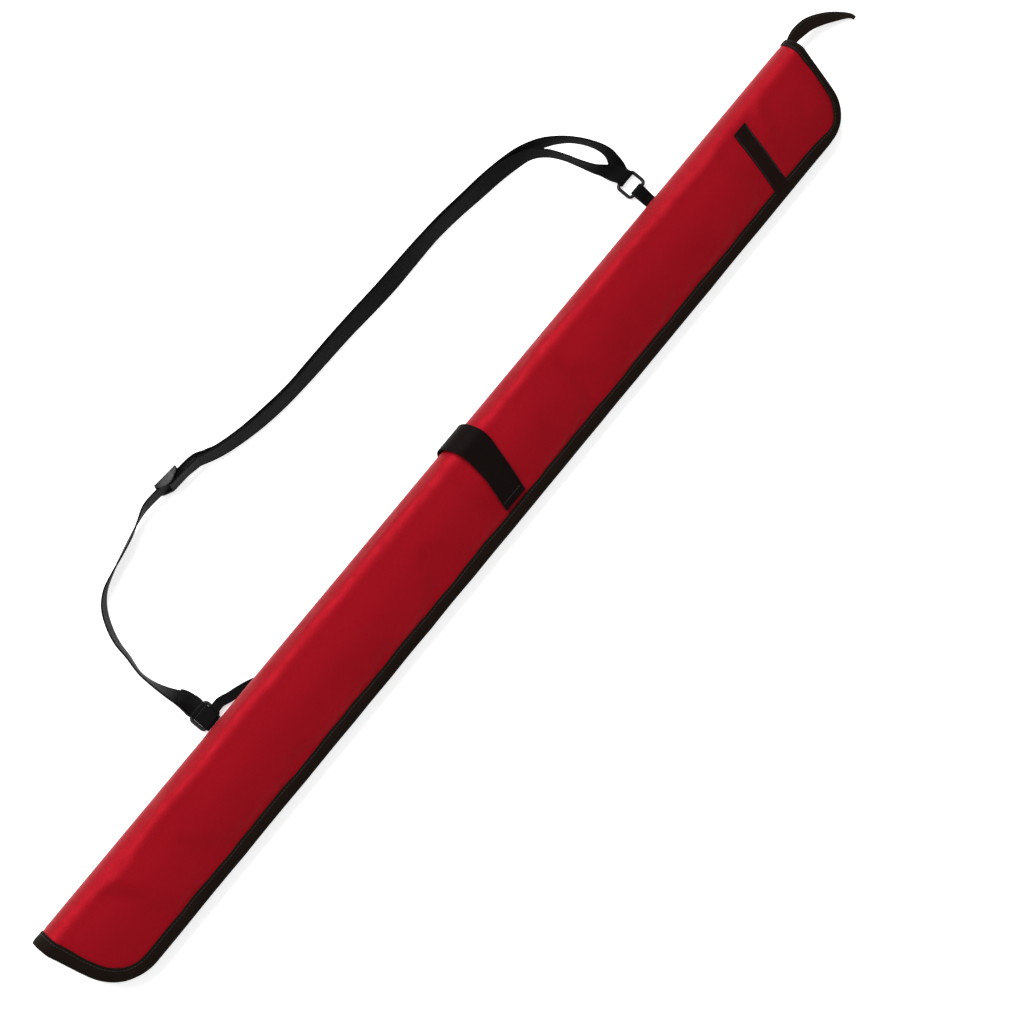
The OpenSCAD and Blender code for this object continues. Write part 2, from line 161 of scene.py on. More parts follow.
class Graph:
    """Node tree of one material, with short ways to add and join nodes."""

    def __init__(self, name: str) -> None:
        """Starts a material whose Principled shader is ready to be set."""
        self.material = bpy.data.materials.new(f"{name}_surface")
        self.material.use_nodes = True
        self.tree = self.material.node_tree
        self.tree.nodes.clear()
        self.shader = self.add("ShaderNodeBsdfPrincipled")
        output = self.add("ShaderNodeOutputMaterial")
        self.tree.links.new(self.shader.outputs[0], output.inputs[0])

    def add(self, kind: str, inputs: Optional[dict] = None, **settings: object) -> bpy.types.Node:
        """Adds a node.

        Args:
            kind: Blender's name of the node type.
            inputs: Value or socket for each input, by name or number.
            settings: Properties of the node itself.

        Returns:
            The new node.
        """
        node = self.tree.nodes.new(kind)
        for key, value in settings.items():
            setattr(node, key, value)
        for key, value in (inputs or {}).items():
            self.put(node.inputs[key], value)
        return node

    def put(self, socket: bpy.types.NodeSocket, value: object) -> None:
        """Links a socket to an input, or sets its value."""
        if isinstance(value, bpy.types.NodeSocket):
            self.tree.links.new(value, socket)
        else:
            socket.default_value = value

    def set(self, **values: object) -> None:
        """Sets or links inputs of the shader, with _ for a space in their names."""
        for key, value in values.items():
            self.put(self.shader.inputs[key.replace("_", " ")], value)

    def lay(self) -> bpy.types.NodeSocket:
        """Place on the cloth: along, across and a third value kept by each piece."""
        return self.add("ShaderNodeAttribute", attribute_name="lay").outputs["Vector"]

    def axes(self, vector: bpy.types.NodeSocket) -> Sequence[bpy.types.NodeSocket]:
        """The three values of a vector."""
        return self.add("ShaderNodeSeparateXYZ", {0: vector}).outputs

    def math(self, operation: str, a: object, b: object = 0.0) -> bpy.types.NodeSocket:
        """Result of a sum on one or two values."""
        return self.add("ShaderNodeMath", {0: a, 1: b}, operation=operation).outputs[0]

    def wave(self, value: bpy.types.NodeSocket, pitch: float) -> bpy.types.NodeSocket:
        """Sine from 0 to 1 that repeats every pitch."""
        turned = self.math("MULTIPLY", value, 2 * math.pi / pitch)
        return self.half(self.math("SINE", turned))

    def half(self, value: bpy.types.NodeSocket) -> bpy.types.NodeSocket:
        """Brings -1 to 1 into 0 to 1."""
        return self.math("ADD", self.math("MULTIPLY", value, 0.5), 0.5)

    def noise(self, scale: float, detail: float = 3.0, vector: object = None) -> bpy.types.NodeSocket:
        """Cloudy value, with features of about 1 / scale metres."""
        place = vector or self.add("ShaderNodeTexCoord").outputs["Object"]
        node = self.add("ShaderNodeTexNoise", {"Vector": place, "Scale": scale, "Detail": detail})
        return node.outputs[0]

    def between(self, value: bpy.types.NodeSocket, low: float, high: float) -> bpy.types.NodeSocket:
        """Spreads 0.3 to 0.7 of a cloudy value over low to high."""
        return self.add(
            "ShaderNodeMapRange",
            {"Value": value, "From Min": 0.3, "From Max": 0.7, "To Min": low, "To Max": high},
        ).outputs[0]

    def blend(self, share: object, a: object, b: object) -> bpy.types.NodeSocket:
        """Mix of two colours."""
        node = self.add("ShaderNodeMix", data_type="RGBA")
        self.put(node.inputs["Factor"], share)
        for socket, value in ((node.inputs[6], a), (node.inputs[7], b)):
            self.put(socket, (*value, 1.0) if isinstance(value, tuple) and len(value) == 3 else value)
        return node.outputs[2]

    def bump(self, height: bpy.types.NodeSocket, distance: float, strength: float = 1.0,
             under: Optional[bpy.types.NodeSocket] = None) -> bpy.types.NodeSocket:
        """Normal of a relief whose full height is distance."""
        inputs = {"Height": height, "Distance": distance, "Strength": strength}
        if under is not None:
            inputs["Normal"] = under
        return self.add("ShaderNodeBump", inputs).outputs[0]


@dataclass(frozen=True)
class WovenCloth:
    """Plain-woven cloth: tiny threads both ways, soft sheen and faint uneven dye."""

    name: str
    colour: Colour
    shade: Colour
    pitch: float
    relief: float
    roughness: float
    sheen: float
    sheen_tint: Colour
    mottling: float = 620.0
    specular: float = 0.35

    def make(self) -> bpy.types.Material:
        """Builds the material."""
        g = Graph(self.name)
        along, across, _ = g.axes(g.lay())
        weave = g.math("MULTIPLY", g.wave(along, self.pitch), g.wave(across, self.pitch))
        dye = g.between(g.noise(self.mottling, 4.0, g.lay()), 0.0, 1.0)
        drift = g.between(g.noise(14.0, 2.0, g.lay()), 0.0, 0.5)
        patches = g.math("ADD", g.math("MULTIPLY", dye, 0.75), g.math("MULTIPLY", drift, 0.6))
        mixed = g.blend(patches, self.colour, self.shade)
        g.set(Base_Color=g.blend(g.math("MULTIPLY", weave, 0.25), mixed, self.shade))
        g.set(Roughness=g.between(g.noise(90.0, 3.0, g.lay()), self.roughness - 0.05, self.roughness + 0.06))
        soft = g.bump(g.noise(320.0, 4.0, g.lay()), self.relief * 1.4, 0.6)
        g.set(Normal=g.bump(weave, self.relief, 0.7, soft))
        g.set(Sheen_Weight=self.sheen, Sheen_Roughness=0.45, Sheen_Tint=(*self.sheen_tint, 1.0))
        g.set(Specular_IOR_Level=self.specular, Specular_Tint=(*self.sheen_tint, 1.0))
        return g.material


@dataclass(frozen=True)
class RibbedTape:
    """Narrow woven tape or webbing with ribs across it and firm edges; its rib crests carry a painted
    highlight.
    """

    name: str
    colour: Colour
    # light: colour of the painted highlight on rib crests, and of random worn patches.
    light: Colour
    rib: float
    relief: float
    roughness: float
    sheen: float = 0.01
    specular: float = 0.04

    def make(self) -> bpy.types.Material:
        """Builds the material."""
        g = Graph(self.name)
        along, across, _ = g.axes(g.lay())
        wander = g.math("MULTIPLY", g.noise(400.0, 2.0, g.lay()), self.rib * 0.5)
        ribs = g.wave(g.math("ADD", along, wander), self.rib)
        warp = g.wave(across, self.rib * 0.62)
        height = g.math("ADD", g.math("MULTIPLY", ribs, 0.7), g.math("MULTIPLY", warp, 0.3))
        fuzz = g.noise(1400.0, 3.0, g.lay())
        # Painted highlight on the raised ribs and painted shade in the grooves between them: the colour
        # follows the relief's height.
        painted_rib_highlight = g.math("MULTIPLY", g.math("MULTIPLY", height, g.between(fuzz, 0.35, 1.0)), 0.85)
        worn = g.between(g.noise(45.0, 3.0, g.lay()), 0.0, 0.35)
        # Base colour moves towards light by the painted rib highlight plus random wear.
        g.set(Base_Color=g.blend(g.math("ADD", painted_rib_highlight, g.math("MULTIPLY", worn, 0.5)), self.colour, self.light))
        g.set(Roughness=g.between(fuzz, self.roughness - 0.06, self.roughness + 0.08))
        g.set(Normal=g.bump(height, self.relief, 0.8, g.bump(fuzz, self.relief * 0.4, 0.5)))
        g.set(Sheen_Weight=self.sheen, Sheen_Roughness=0.5, Sheen_Tint=(0.8, 0.8, 0.85, 1.0))
        g.set(Specular_IOR_Level=self.specular)
        return g.material


@dataclass(frozen=True)
class MouldedPlastic:
    """Black moulded plastic with a fine grain and light handling scuffs."""

    name: str
    colour: Colour
    roughness: float
    grain: float = 0.00006
    metallic: float = 0.0
    coat: float = 0.0
    specular: float = 0.5

    def make(self) -> bpy.types.Material:
        """Builds the material."""
        g = Graph(self.name)
        grain = g.noise(2600.0, 3.0)
        scuff = g.between(g.noise(180.0, 5.0), 0.0, 1.0)
        lighter = tuple(min(1.0, c * 1.9 + 0.004) for c in self.colour)
        g.set(Base_Color=g.blend(g.math("MULTIPLY", scuff, 0.35), self.colour, lighter))
        g.set(Roughness=g.between(g.noise(240.0, 5.0), self.roughness - 0.08, self.roughness + 0.12))
        g.set(Normal=g.bump(grain, self.grain, 0.6), Metallic=self.metallic, Coat_Weight=self.coat)
        g.set(Coat_Roughness=0.2, Specular_IOR_Level=self.specular)
        return g.material


@dataclass(frozen=True)
class Fuzz:
    """Hook-and-loop pile or open foam: a matt, broken surface."""

    name: str
    colour: Colour
    light: Colour
    cell: float
    relief: float

    def make(self) -> bpy.types.Material:
        """Builds the material."""
        g = Graph(self.name)
        place = g.add("ShaderNodeTexCoord").outputs["Object"]
        cells = g.add("ShaderNodeTexVoronoi", {"Vector": place, "Scale": 1.0 / self.cell}).outputs["Distance"]
        g.set(Base_Color=g.blend(cells, self.light, self.colour), Roughness=0.9)
        g.set(Normal=g.bump(cells, self.relief, 0.9, g.bump(g.noise(3.0 / self.cell), self.relief, 0.4)))
        g.set(Sheen_Weight=0.3, Sheen_Roughness=0.6, Specular_IOR_Level=0.2)
        return g.material


@dataclass(frozen=True)
class StudioFloor:
    """Pale matt paper under and round the case."""

    name: str = "studio_paper"
    colour: Colour = (0.93, 0.93, 0.93)
    glow: float = 0.60

    def make(self) -> bpy.types.Material:
        """Builds the material."""
        g = Graph(self.name)
        tone = g.between(g.noise(3.0, 2.0), 0.0, 0.15)
        g.set(Base_Color=g.blend(tone, self.colour, (0.9, 0.9, 0.895)), Roughness=0.85)
        g.set(Specular_IOR_Level=0.1, Normal=g.bump(g.noise(900.0), 0.00005, 0.3))
        g.set(Emission_Color=(1.0, 1.0, 1.0, 1.0), Emission_Strength=self.glow)
        return g.material


class Finish(Enum):
    """Every finish on the case, by its recipe."""

    RED = WovenCloth("red_fabric", (0.160, 0.0007, 0.0028), (0.088, 0.0003, 0.0013), 0.7 * MM, 0.08 * MM,
                     0.58, 0.06, (1.0, 0.03, 0.06), specular=2.0)
    LINING = WovenCloth("black_lining", (0.014, 0.014, 0.015), (0.008, 0.008, 0.009), 0.6 * MM,
                        0.05 * MM, 0.62, 0.04, (0.8, 0.8, 0.85), specular=0.2)
    # For the ribbed tapes below, the second colour is that of the painted highlight on rib crests and of
    # random worn patches.
    BINDING = RibbedTape("binding_tape", (0.0036, 0.0018, 0.0010), (0.0105, 0.0058, 0.0034), 0.9 * MM,
                         0.10 * MM, 0.62)
    WEBBING = RibbedTape("strap_webbing", (0.0014, 0.0012, 0.0013), (0.0058, 0.0054, 0.0056), 1.5 * MM,
                         0.22 * MM, 0.55)
    BAND = RibbedTape("band_webbing", (0.0020, 0.0006, 0.0004), (0.0052, 0.0018, 0.0015), 0.7 * MM,
                      0.06 * MM, 0.6, 0.03)
    LABEL = RibbedTape("label_cloth", (0.0040, 0.0015, 0.0011), (0.0110, 0.0046, 0.0038), 0.45 * MM,
                       0.04 * MM, 0.5)
    ZIP_TAPE = RibbedTape("zip_fabric", (0.008, 0.008, 0.009), (0.028, 0.028, 0.030), 0.6 * MM,
                          0.06 * MM, 0.65)
    THREAD = MouldedPlastic("black_thread", (0.0030, 0.0020, 0.0016), 0.7, 0.00003)
    COIL = MouldedPlastic("zip_coil", (0.016, 0.016, 0.017), 0.34)
    PLASTIC = MouldedPlastic("black_plastic", (0.0060, 0.0058, 0.0055), 0.42, 0.00004, specular=0.22)
    METAL = MouldedPlastic("dark_metal", (0.030, 0.030, 0.032), 0.36, 0.00003, 0.75, 0.1)
    PILE = Fuzz("hook_and_loop", (0.010, 0.010, 0.011), (0.040, 0.040, 0.042), 0.6 * MM, 0.25 * MM)
    FOAM = Fuzz("foam", (0.18, 0.18, 0.19), (0.32, 0.32, 0.33), 0.9 * MM, 0.15 * MM)

    def material(self) -> bpy.types.Material:
        """The finish as a material, made once."""
        found = bpy.data.materials.get(f"{self.value.name}_surface")
        return found or self.value.make()


# ---------------------------------------------------------------- mesh work


class Shape:
    """Collects surfaces of one piece, then makes its object."""

    def __init__(self) -> None:
        """Starts empty."""
        self.points: List[np.ndarray] = []
        self.lay: List[np.ndarray] = []
        self.faces: List[Tuple[int, ...]] = []
        self.count = 0

    def _take(self, points: np.ndarray, lay: np.ndarray) -> int:
        """Stores points and says where they start."""
        start = self.count
        self.points.append(points.reshape(-1, 3))
        self.lay.append(np.broadcast_to(lay, points.shape).reshape(-1, 3))
        self.count += len(self.points[-1])
        return start

    def tube(self, rings: np.ndarray, lay: np.ndarray, closed: bool = False) -> None:
        """Skin over rings of points, with flat ends unless it is closed.

        Args:
            rings: Array of rings, each a closed loop of points.
            lay: Cloth coordinates of the same shape.
            closed: True where the last ring joins the first.
        """
        n, k = rings.shape[:2]
        start = self._take(rings, lay)
        for i in range(n if closed else n - 1):
            a, b = start + i * k, start + ((i + 1) % n) * k
            self.faces += [(a + j, a + (j + 1) % k, b + (j + 1) % k, b + j) for j in range(k)]
        if not closed:
            self.faces.append(tuple(range(start + k - 1, start - 1, -1)))
            self.faces.append(tuple(range(start + (n - 1) * k, start + n * k)))

    def shell(self, outer: np.ndarray, inner: np.ndarray, lay: np.ndarray) -> None:
        """Closed sheet between two grids of the same size.

        Args:
            outer: Points of the outer face, rows by columns.
            inner: Points of the inner face.
            lay: Cloth coordinates of either face.
        """
        n, m = outer.shape[:2]
        a, b = self._take(outer, lay), self._take(inner, lay)
        for i in range(n - 1):
            for j in range(m - 1):
                p, q = i * m + j, i * m + j + 1
                r, s = p + m, q + m
                self.faces.append((a + p, a + q, a + s, a + r))
                self.faces.append((b + p, b + r, b + s, b + q))
        rim = [j for j in range(m)] + [i * m + m - 1 for i in range(1, n)]
        rim += [(n - 1) * m + j for j in range(m - 2, -1, -1)] + [i * m for i in range(n - 2, 0, -1)]
        for p, q in zip(rim, rim[1:] + rim[:1]):
            self.faces.append((a + p, b + p, b + q, a + q))

    def copies(self, points: np.ndarray, faces: Sequence[Tuple[int, ...]], places: np.ndarray,
               axes: np.ndarray, lay: np.ndarray) -> None:
        """Many copies of one small closed mesh.

        Args:
            points: Its points, in its own three directions.
            faces: Its faces.
            places: Where each copy stands.
            axes: Three directions of each copy, as rows.
            lay: Cloth coordinates of each copy.
        """
        placed = places[:, None, :] + np.einsum("pk,nkc->npc", points, axes)
        start = self._take(placed, lay[:, None, :])
        for i in range(len(places)):
            base = start + i * len(points)
            self.faces += [tuple(base + v for v in f) for f in faces]

    def build(self, name: str, finish: Finish, slot: str, sharp: float = 50.0) -> bpy.types.Object:
        """Makes the object.

        Args:
            name: Name of the piece.
            finish: What it is made of.
            slot: The record's material slot; not used.
            sharp: Edges that turn more than this many degrees look sharp.

        Returns:
            The new object.
        """
        mesh = bpy.data.meshes.new(name)
        mesh.from_pydata(np.vstack(self.points).tolist(), [], self.faces)
        mesh.update()
        lay = mesh.attributes.new("lay", "FLOAT_VECTOR", "POINT")
        lay.data.foreach_set("vector", np.vstack(self.lay).astype(np.float32).ravel())
        return place_mesh(mesh, name, finish, sharp)


def place_mesh(mesh: bpy.types.Mesh, name: str, finish: Finish,
               sharp: float = 50.0) -> bpy.types.Object:
    """Puts a finished mesh in the scene as a piece with even normals and its material.

    Args:
        mesh: The mesh.
        name: Name of the piece.
        finish: What it is made of.
        sharp: Edges that turn more than this many degrees look sharp.

    Returns:
        The new object.
    """
    work = bmesh.new()
    work.from_mesh(mesh)
    bmesh.ops.recalc_face_normals(work, faces=work.faces)
    work.to_mesh(mesh)
    work.free()
    mesh.polygons.foreach_set("use_smooth", [True] * len(mesh.polygons))
    mesh.set_sharp_from_angle(angle=math.radians(sharp))
    mesh.materials.append(finish.material())
    piece = bpy.data.objects.new(name, mesh)
    bpy.context.scene.collection.objects.link(piece)
    LOG.info("%s: %d points", name, len(mesh.vertices))
    return piece


def tube_piece(rings: np.ndarray, lay: np.ndarray, name: str, finish: Finish, slot: str,
               sharp: float = 50.0) -> bpy.types.Object:
    """Makes a piece that is one skin over rings of points.

    Args:
        rings: Array of rings.
        lay: Cloth coordinates of the same shape.
        name: Name of the piece.
        finish: What it is made of.
        slot: The record's material slot.
        sharp: Edges that turn more than this many degrees look sharp.

    Returns:
        The new object.
    """
    shape = Shape()
    shape.tube(rings, lay)
    return shape.build(name, finish, slot, sharp)


def mount(piece: bpy.types.Object, body: str, *nodes: str) -> None:
    """Makes a piece move with a body and stand for CAD nodes."""
    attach(piece, body)
    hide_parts(*nodes)


def rounded_frame(half_x: float, half_y: float, corner: float, steps: int) -> Tuple[np.ndarray, np.ndarray]:
    """Closed loop with round corners, as for a ring or a buckle's frame.

    Args:
        half_x: Distance along from the middle to a corner's centre.
        half_y: The same across.
        corner: Radius of a corner.
        steps: Points on each corner.

    Returns:
        Points (x, y) and unit directions outwards.
    """
    points = np.array([(sx * half_x + corner * math.cos(t), sy * half_y + corner * math.sin(t))
                       for sx, sy, start in ((1, 1, 0), (-1, 1, 90), (-1, -1, 180), (1, -1, 270))
                       for t in np.radians(np.linspace(start, start + 90, steps))])
    ahead = unit(np.roll(points, -1, 0) - np.roll(points, 1, 0))
    return points, np.column_stack([ahead[:, 1], -ahead[:, 0]])


def flat_section(half_width: float, half_thick: float, cup: float = 0.0) -> np.ndarray:
    """Outline of flat webbing with rounded, slightly swollen edges.

    Args:
        half_width: Half of its width.
        half_thick: Half of its thickness.
        cup: How far the middle stands above the edges.

    Returns:
        Loop of (across, up) pairs.
    """
    side = [(-1.0, -0.35), (-0.985, -0.8), (-0.93, -1.08), (-0.8, -0.96), (-0.4, -0.96), (0.0, -0.96),
            (0.4, -0.96), (0.8, -0.96), (0.93, -1.08), (0.985, -0.8)]
    loop = np.array(side + [(-a, -b) for a, b in side])
    rise = cup * (1 - loop[:, 0] ** 2)
    return np.column_stack([loop[:, 0] * half_width, loop[:, 1] * half_thick + rise])


def ribbon(points: np.ndarray, sideways: np.ndarray, section: np.ndarray, widths: object = 1.0,
           start: float = 0.0) -> Tuple[np.ndarray, np.ndarray]:
    """Rings of webbing along a line.

    Args:
        points: Middle of the webbing.
        sideways: Direction across it at each point.
        section: Loop of (across, up) pairs.
        widths: Share of the section's width, one for all or one for each point.
        start: Cloth coordinate of the first point.

    Returns:
        The rings and their cloth coordinates.
    """
    ahead = tangents(points)
    across = unit(sideways - (sideways * ahead).sum(1, keepdims=True) * ahead)
    up = np.cross(ahead, across)
    share = np.broadcast_to(np.asarray(widths, float), len(points))[:, None, None]
    rings = (points[:, None] + across[:, None] * section[None, :, :1] * share
             + up[:, None] * section[None, :, 1:])
    lay = np.zeros_like(rings)
    lay[..., 0] = (start + arc_lengths(points))[:, None]
    lay[..., 1] = section[:, 0]
    return rings, lay


def capsule(length: float, wide: float, high: float, sides: int = 6) -> Tuple[np.ndarray, list]:
    """Small closed bead with round ends, lying along its first axis.

    Args:
        length: Overall length.
        wide: Half width.
        high: Half height.
        sides: Corners of its section.

    Returns:
        Points and faces.
    """
    stations = [(-0.5, 0.45), (-0.32, 0.95), (0.0, 1.0), (0.32, 0.95), (0.5, 0.45)]
    turn = turns(sides)
    points = [[s * length, math.cos(t) * wide * r, math.sin(t) * high * r]
              for s, r in stations for t in turn]
    faces = [(i * sides + j, i * sides + (j + 1) % sides, (i + 1) * sides + (j + 1) % sides,
              (i + 1) * sides + j) for i in range(len(stations) - 1) for j in range(sides)]
    faces.append(tuple(range(sides - 1, -1, -1)))
    faces.append(tuple(range((len(stations) - 1) * sides, len(stations) * sides)))
    return np.array(points), faces


def stitches(name: str, line: np.ndarray, outward: np.ndarray, pitch: float = 3.1 * MM,
             finish: Finish = Finish.THREAD, slot: str = "binding_tape") -> bpy.types.Object:
    """Row of stitches along a line on a surface.

    Args:
        name: Name of the piece.
        line: Points along the seam, close together.
        outward: Surface normals at those points.
        pitch: From one stitch to the next.
        finish: What the thread is.
        slot: The record's material slot.

    Returns:
        The new object.
    """
    along = arc_lengths(line)
    marks = np.arange(pitch / 2, along[-1], pitch)
    places = at_marks(marks, along, line)
    ahead = unit(at_marks(marks, along, tangents(line)))
    up = unit(at_marks(marks, along, outward))
    side = np.cross(up, ahead)
    shape = Shape()
    points, faces = capsule(pitch * 0.82, 0.30 * MM, 0.24 * MM)
    lay = np.column_stack([marks, 0 * marks, 0 * marks])
    shape.copies(points, faces, places, np.stack([ahead, side, up], axis=1), lay)
    return shape.build(name, finish, slot)


# ---------------------------------------------------------------- the panels


@dataclass
class Outline:
    """Cut of one panel: square at the spine, raked ends, round corners on the bound side."""

    edge: float
    square: float
    top: float
    half_length: float = 0.5
    radii: Tuple[float, float] = (45 * MM, 36 * MM)
    rakes: Tuple[float, float] = (7 * MM, 9 * MM)

    def corner(self, side: int, inset: float = 0.0) -> Tuple[float, float, float, float]:
        """One rounded corner.

        Args:
            side: -1 at the bottom end, 1 at the top end.
            inset: Distance inside the cut.

        Returns:
            Its centre's x and q, its radius, and the angle where the end edge meets it, turned
            from the direction of the end.
        """
        which = 0 if side < 0 else 1
        r = self.radii[which]
        cx, cq = self.half_length - self.rakes[which] - r, self.edge + r
        dx, dq = self.half_length - cx, self.square - cq
        far = math.hypot(dx, dq)
        angle = math.atan2(dq, dx) - math.acos(r / far)
        return side * cx, cq, r - inset, angle

    def reach(self, q: np.ndarray, side: int, inset: float) -> np.ndarray:
        """How far the cut reaches towards one end.

        Args:
            q: Places across the panel.
            side: -1 at the bottom end, 1 at the top end.
            inset: Distance inside the cut.

        Returns:
            The x reached at each q.
        """
        cx, cq, r, angle = self.corner(side, inset)
        touch_x, touch_q = abs(cx) + r * math.cos(angle), cq + r * math.sin(angle)
        start = self.half_length - inset
        line = start + (touch_x - start) * np.clip((self.square - q) / (self.square - touch_q), 0, 1)
        arc = abs(cx) + np.sqrt(np.clip(r * r - (q - cq) ** 2, 0, None))
        return side * np.where(q >= touch_q, line, arc)

    def rows(self, inset: float, step: float) -> np.ndarray:
        """Values of q from the bound edge to the top, closer together round the corners.

        Args:
            inset: Distance inside the cut.
            step: Distance between rows on the straight part.

        Returns:
            The values, rising.
        """
        r = max(self.radii)
        low, bend = self.edge + inset, self.edge + r
        turn = np.linspace(0, math.pi / 2, 19)
        round_part = low + (bend - low) * (1 - np.cos(turn))
        count = max(2, int((self.top - bend) / step))
        return np.concatenate([round_part, np.linspace(bend, self.top, count + 1)[1:]])

    def line(self, inset: float, step: float = 2.0 * MM) -> Tuple[np.ndarray, np.ndarray]:
        """The cut's own line, from the top at the bottom end round to the top at the other end.

        Args:
            inset: Distance inside the cut.
            step: Distance between points.

        Returns:
            Points (x, q) and unit directions into the panel.
        """
        parts = [[(-self.half_length + inset, self.top)]]
        for side in (-1, 1):
            cx, cq, r, angle = self.corner(side, inset)
            turns = np.linspace(angle, -math.pi / 2, 40)
            arc = [(cx + side * r * math.cos(t), cq + r * math.sin(t)) for t in turns]
            square = [(side * (self.half_length - inset), self.square)]
            parts.append(square + arc if side < 0 else arc[::-1] + square)
        parts.append([(self.half_length - inset, self.top)])
        points = np.array([p for part in parts for p in part])
        along = arc_lengths(points)
        marks = np.linspace(0, along[-1], int(along[-1] / step) + 1)
        line = at_marks(marks, along, points)
        ahead = tangents(line)
        for _ in range(3):
            ahead[1:-1] = (ahead[:-2] + ahead[1:-1] * 2 + ahead[2:]) / 4
        ahead = unit(ahead)
        return line, np.column_stack([-ahead[:, 1], ahead[:, 0]])

    def inset_of(self, x: np.ndarray, q: np.ndarray) -> np.ndarray:
        """How far inside the cut each place is.

        Args:
            x: Places along the panel.
            q: Places across it.

        Returns:
            Distances, in the same arrangement.
        """
        line, _ = self.line(0.0, 4 * MM)
        flat = np.column_stack([np.ravel(x), np.ravel(q)])
        out = np.empty(len(flat))
        for i in range(0, len(flat), 4000):
            part = flat[i : i + 4000]
            out[i : i + 4000] = np.sqrt(((part[:, None] - line[None]) ** 2).sum(2).min(1))
        return out.reshape(np.shape(x))


@dataclass
class Panel:
    """A panel of padded cloth. Subclasses say where a place on the cloth is in space."""

    outline: Outline
    body: str
    thickness: float = 4.8 * MM
    squeeze: float = 0.62 * MM

    def point(self, x: np.ndarray, q: np.ndarray, depth: np.ndarray) -> np.ndarray:
        """Place in space of (x, q) at a depth below the outer face."""
        raise NotImplementedError

    def normal(self, x: np.ndarray, q: np.ndarray) -> np.ndarray:
        """Outward direction of the outer face."""
        return unit(self.point(x, q, np.full(np.shape(q), -MM)) - self.point(x, q, np.zeros(np.shape(q))))

    def carry(self, piece: bpy.types.Object) -> bpy.types.Object:
        """Makes a piece move with this panel."""
        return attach(piece, self.body)

    def layer(self, name: str, top: float, bottom: float, finish: Finish, slot: str, inset: float,
              relief: Optional[np.ndarray] = None) -> bpy.types.Object:
        """One layer of the panel between two depths.

        Args:
            name: Name of the piece.
            top: Depth of its outer face.
            bottom: Depth of its inner face.
            finish: What it is made of.
            slot: The record's material slot.
            inset: How far inside the cut it ends.
            relief: Extra outward height of its outer face, on the grid of columns and rows.

        Returns:
            The new object.
        """
        x, q = self.grid(inset)
        edge = self.outline.inset_of(x, q)
        tight = self.squeeze * (1 - smoothstep(8 * MM, 17 * MM, edge))
        faces = []
        for depth in (top, bottom):
            lost = tight * (1 - depth / self.thickness)
            raised = 0.0 if relief is None else relief * (1 - depth / self.thickness)
            faces.append(self.point(x, q, depth + lost - raised))
        lay = np.stack([x, q, np.zeros_like(x)], axis=-1)
        shape = Shape()
        shape.shell(faces[0], faces[1], lay)
        return shape.build(name, finish, slot)

    def grid(self, inset: float, columns: int = 231, step: float = 3.0 * MM
             ) -> Tuple[np.ndarray, np.ndarray]:
        """Grid of cloth places, rows across the panel by columns along it.

        Args:
            inset: How far inside the cut it ends.
            columns: Number of columns.
            step: Distance between rows on the straight part.

        Returns:
            x and q of the grid.
        """
        q = self.outline.rows(inset, step)
        low, high = self.outline.reach(q, -1, inset), self.outline.reach(q, 1, inset)
        share = np.linspace(0, 1, columns)[None, :]
        x = low[:, None] + (high - low)[:, None] * share
        return x, np.broadcast_to(q[:, None], x.shape)


@dataclass
class BackPanel(Panel):
    """Panel that lies flat on the ground."""

    def point(self, x: np.ndarray, q: np.ndarray, depth: np.ndarray) -> np.ndarray:
        """Place in space of (x, q) at a depth below the outer face."""
        x, q, depth = np.broadcast_arrays(x, q, depth)
        return np.stack([x, q, depth], axis=-1)


@dataclass
class FrontPanel(Panel):
    """Front panel and, as the same cloth, the spine that it is folded round."""

    spine_y: float = 0.029
    radius: float = 0.015
    slope: float = math.radians(9.5)
    hinge: Tuple[float, float] = (0.0265, 0.0298)
    crown: float = 2.4 * MM
    fold_start: Point = (0.0, 0.0345, 0.0260)
    fold_end: Point = (0.0, 0.0213, 0.0339)

    def rise(self, x: np.ndarray, q: np.ndarray) -> np.ndarray:
        """How far the padding stands above the plain shape."""
        share = np.clip((12 * MM - q) / (12 * MM - self.outline.edge), 0, 1)
        ends = smoothstep(0.0, 55 * MM, self.outline.half_length - np.abs(x))
        uneven = 1 + 0.22 * Ripple(5, 0.09, 0.34).at(x)
        return self.crown * np.sin(math.pi * share) ** 2 * (0.45 + 0.55 * ends) * uneven

    def point(self, x: np.ndarray, q: np.ndarray, depth: np.ndarray) -> np.ndarray:
        """Place in space of (x, q) at a depth below the outer face."""
        x, q, depth = np.broadcast_arrays(x, q, depth)
        out = self.rise(x, q) - depth
        turn = math.pi / 2 + self.slope - np.maximum(q, 0) / self.radius
        flat = np.minimum(q, 0)
        flat_y = self.hinge[0] + flat * math.cos(self.slope)
        flat_z = self.hinge[1] + flat * math.sin(self.slope)
        y = np.where(q < 0, flat_y, self.spine_y + self.radius * np.cos(turn))
        z = np.where(q < 0, flat_z, self.radius + self.radius * np.sin(turn))
        return np.stack([x, y + out * np.cos(turn), z + out * np.sin(turn)], axis=-1)

    def carry(self, piece: bpy.types.Object) -> bpy.types.Object:
        """Bakes the piece's place into its mesh, where it stays."""
        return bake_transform(piece)


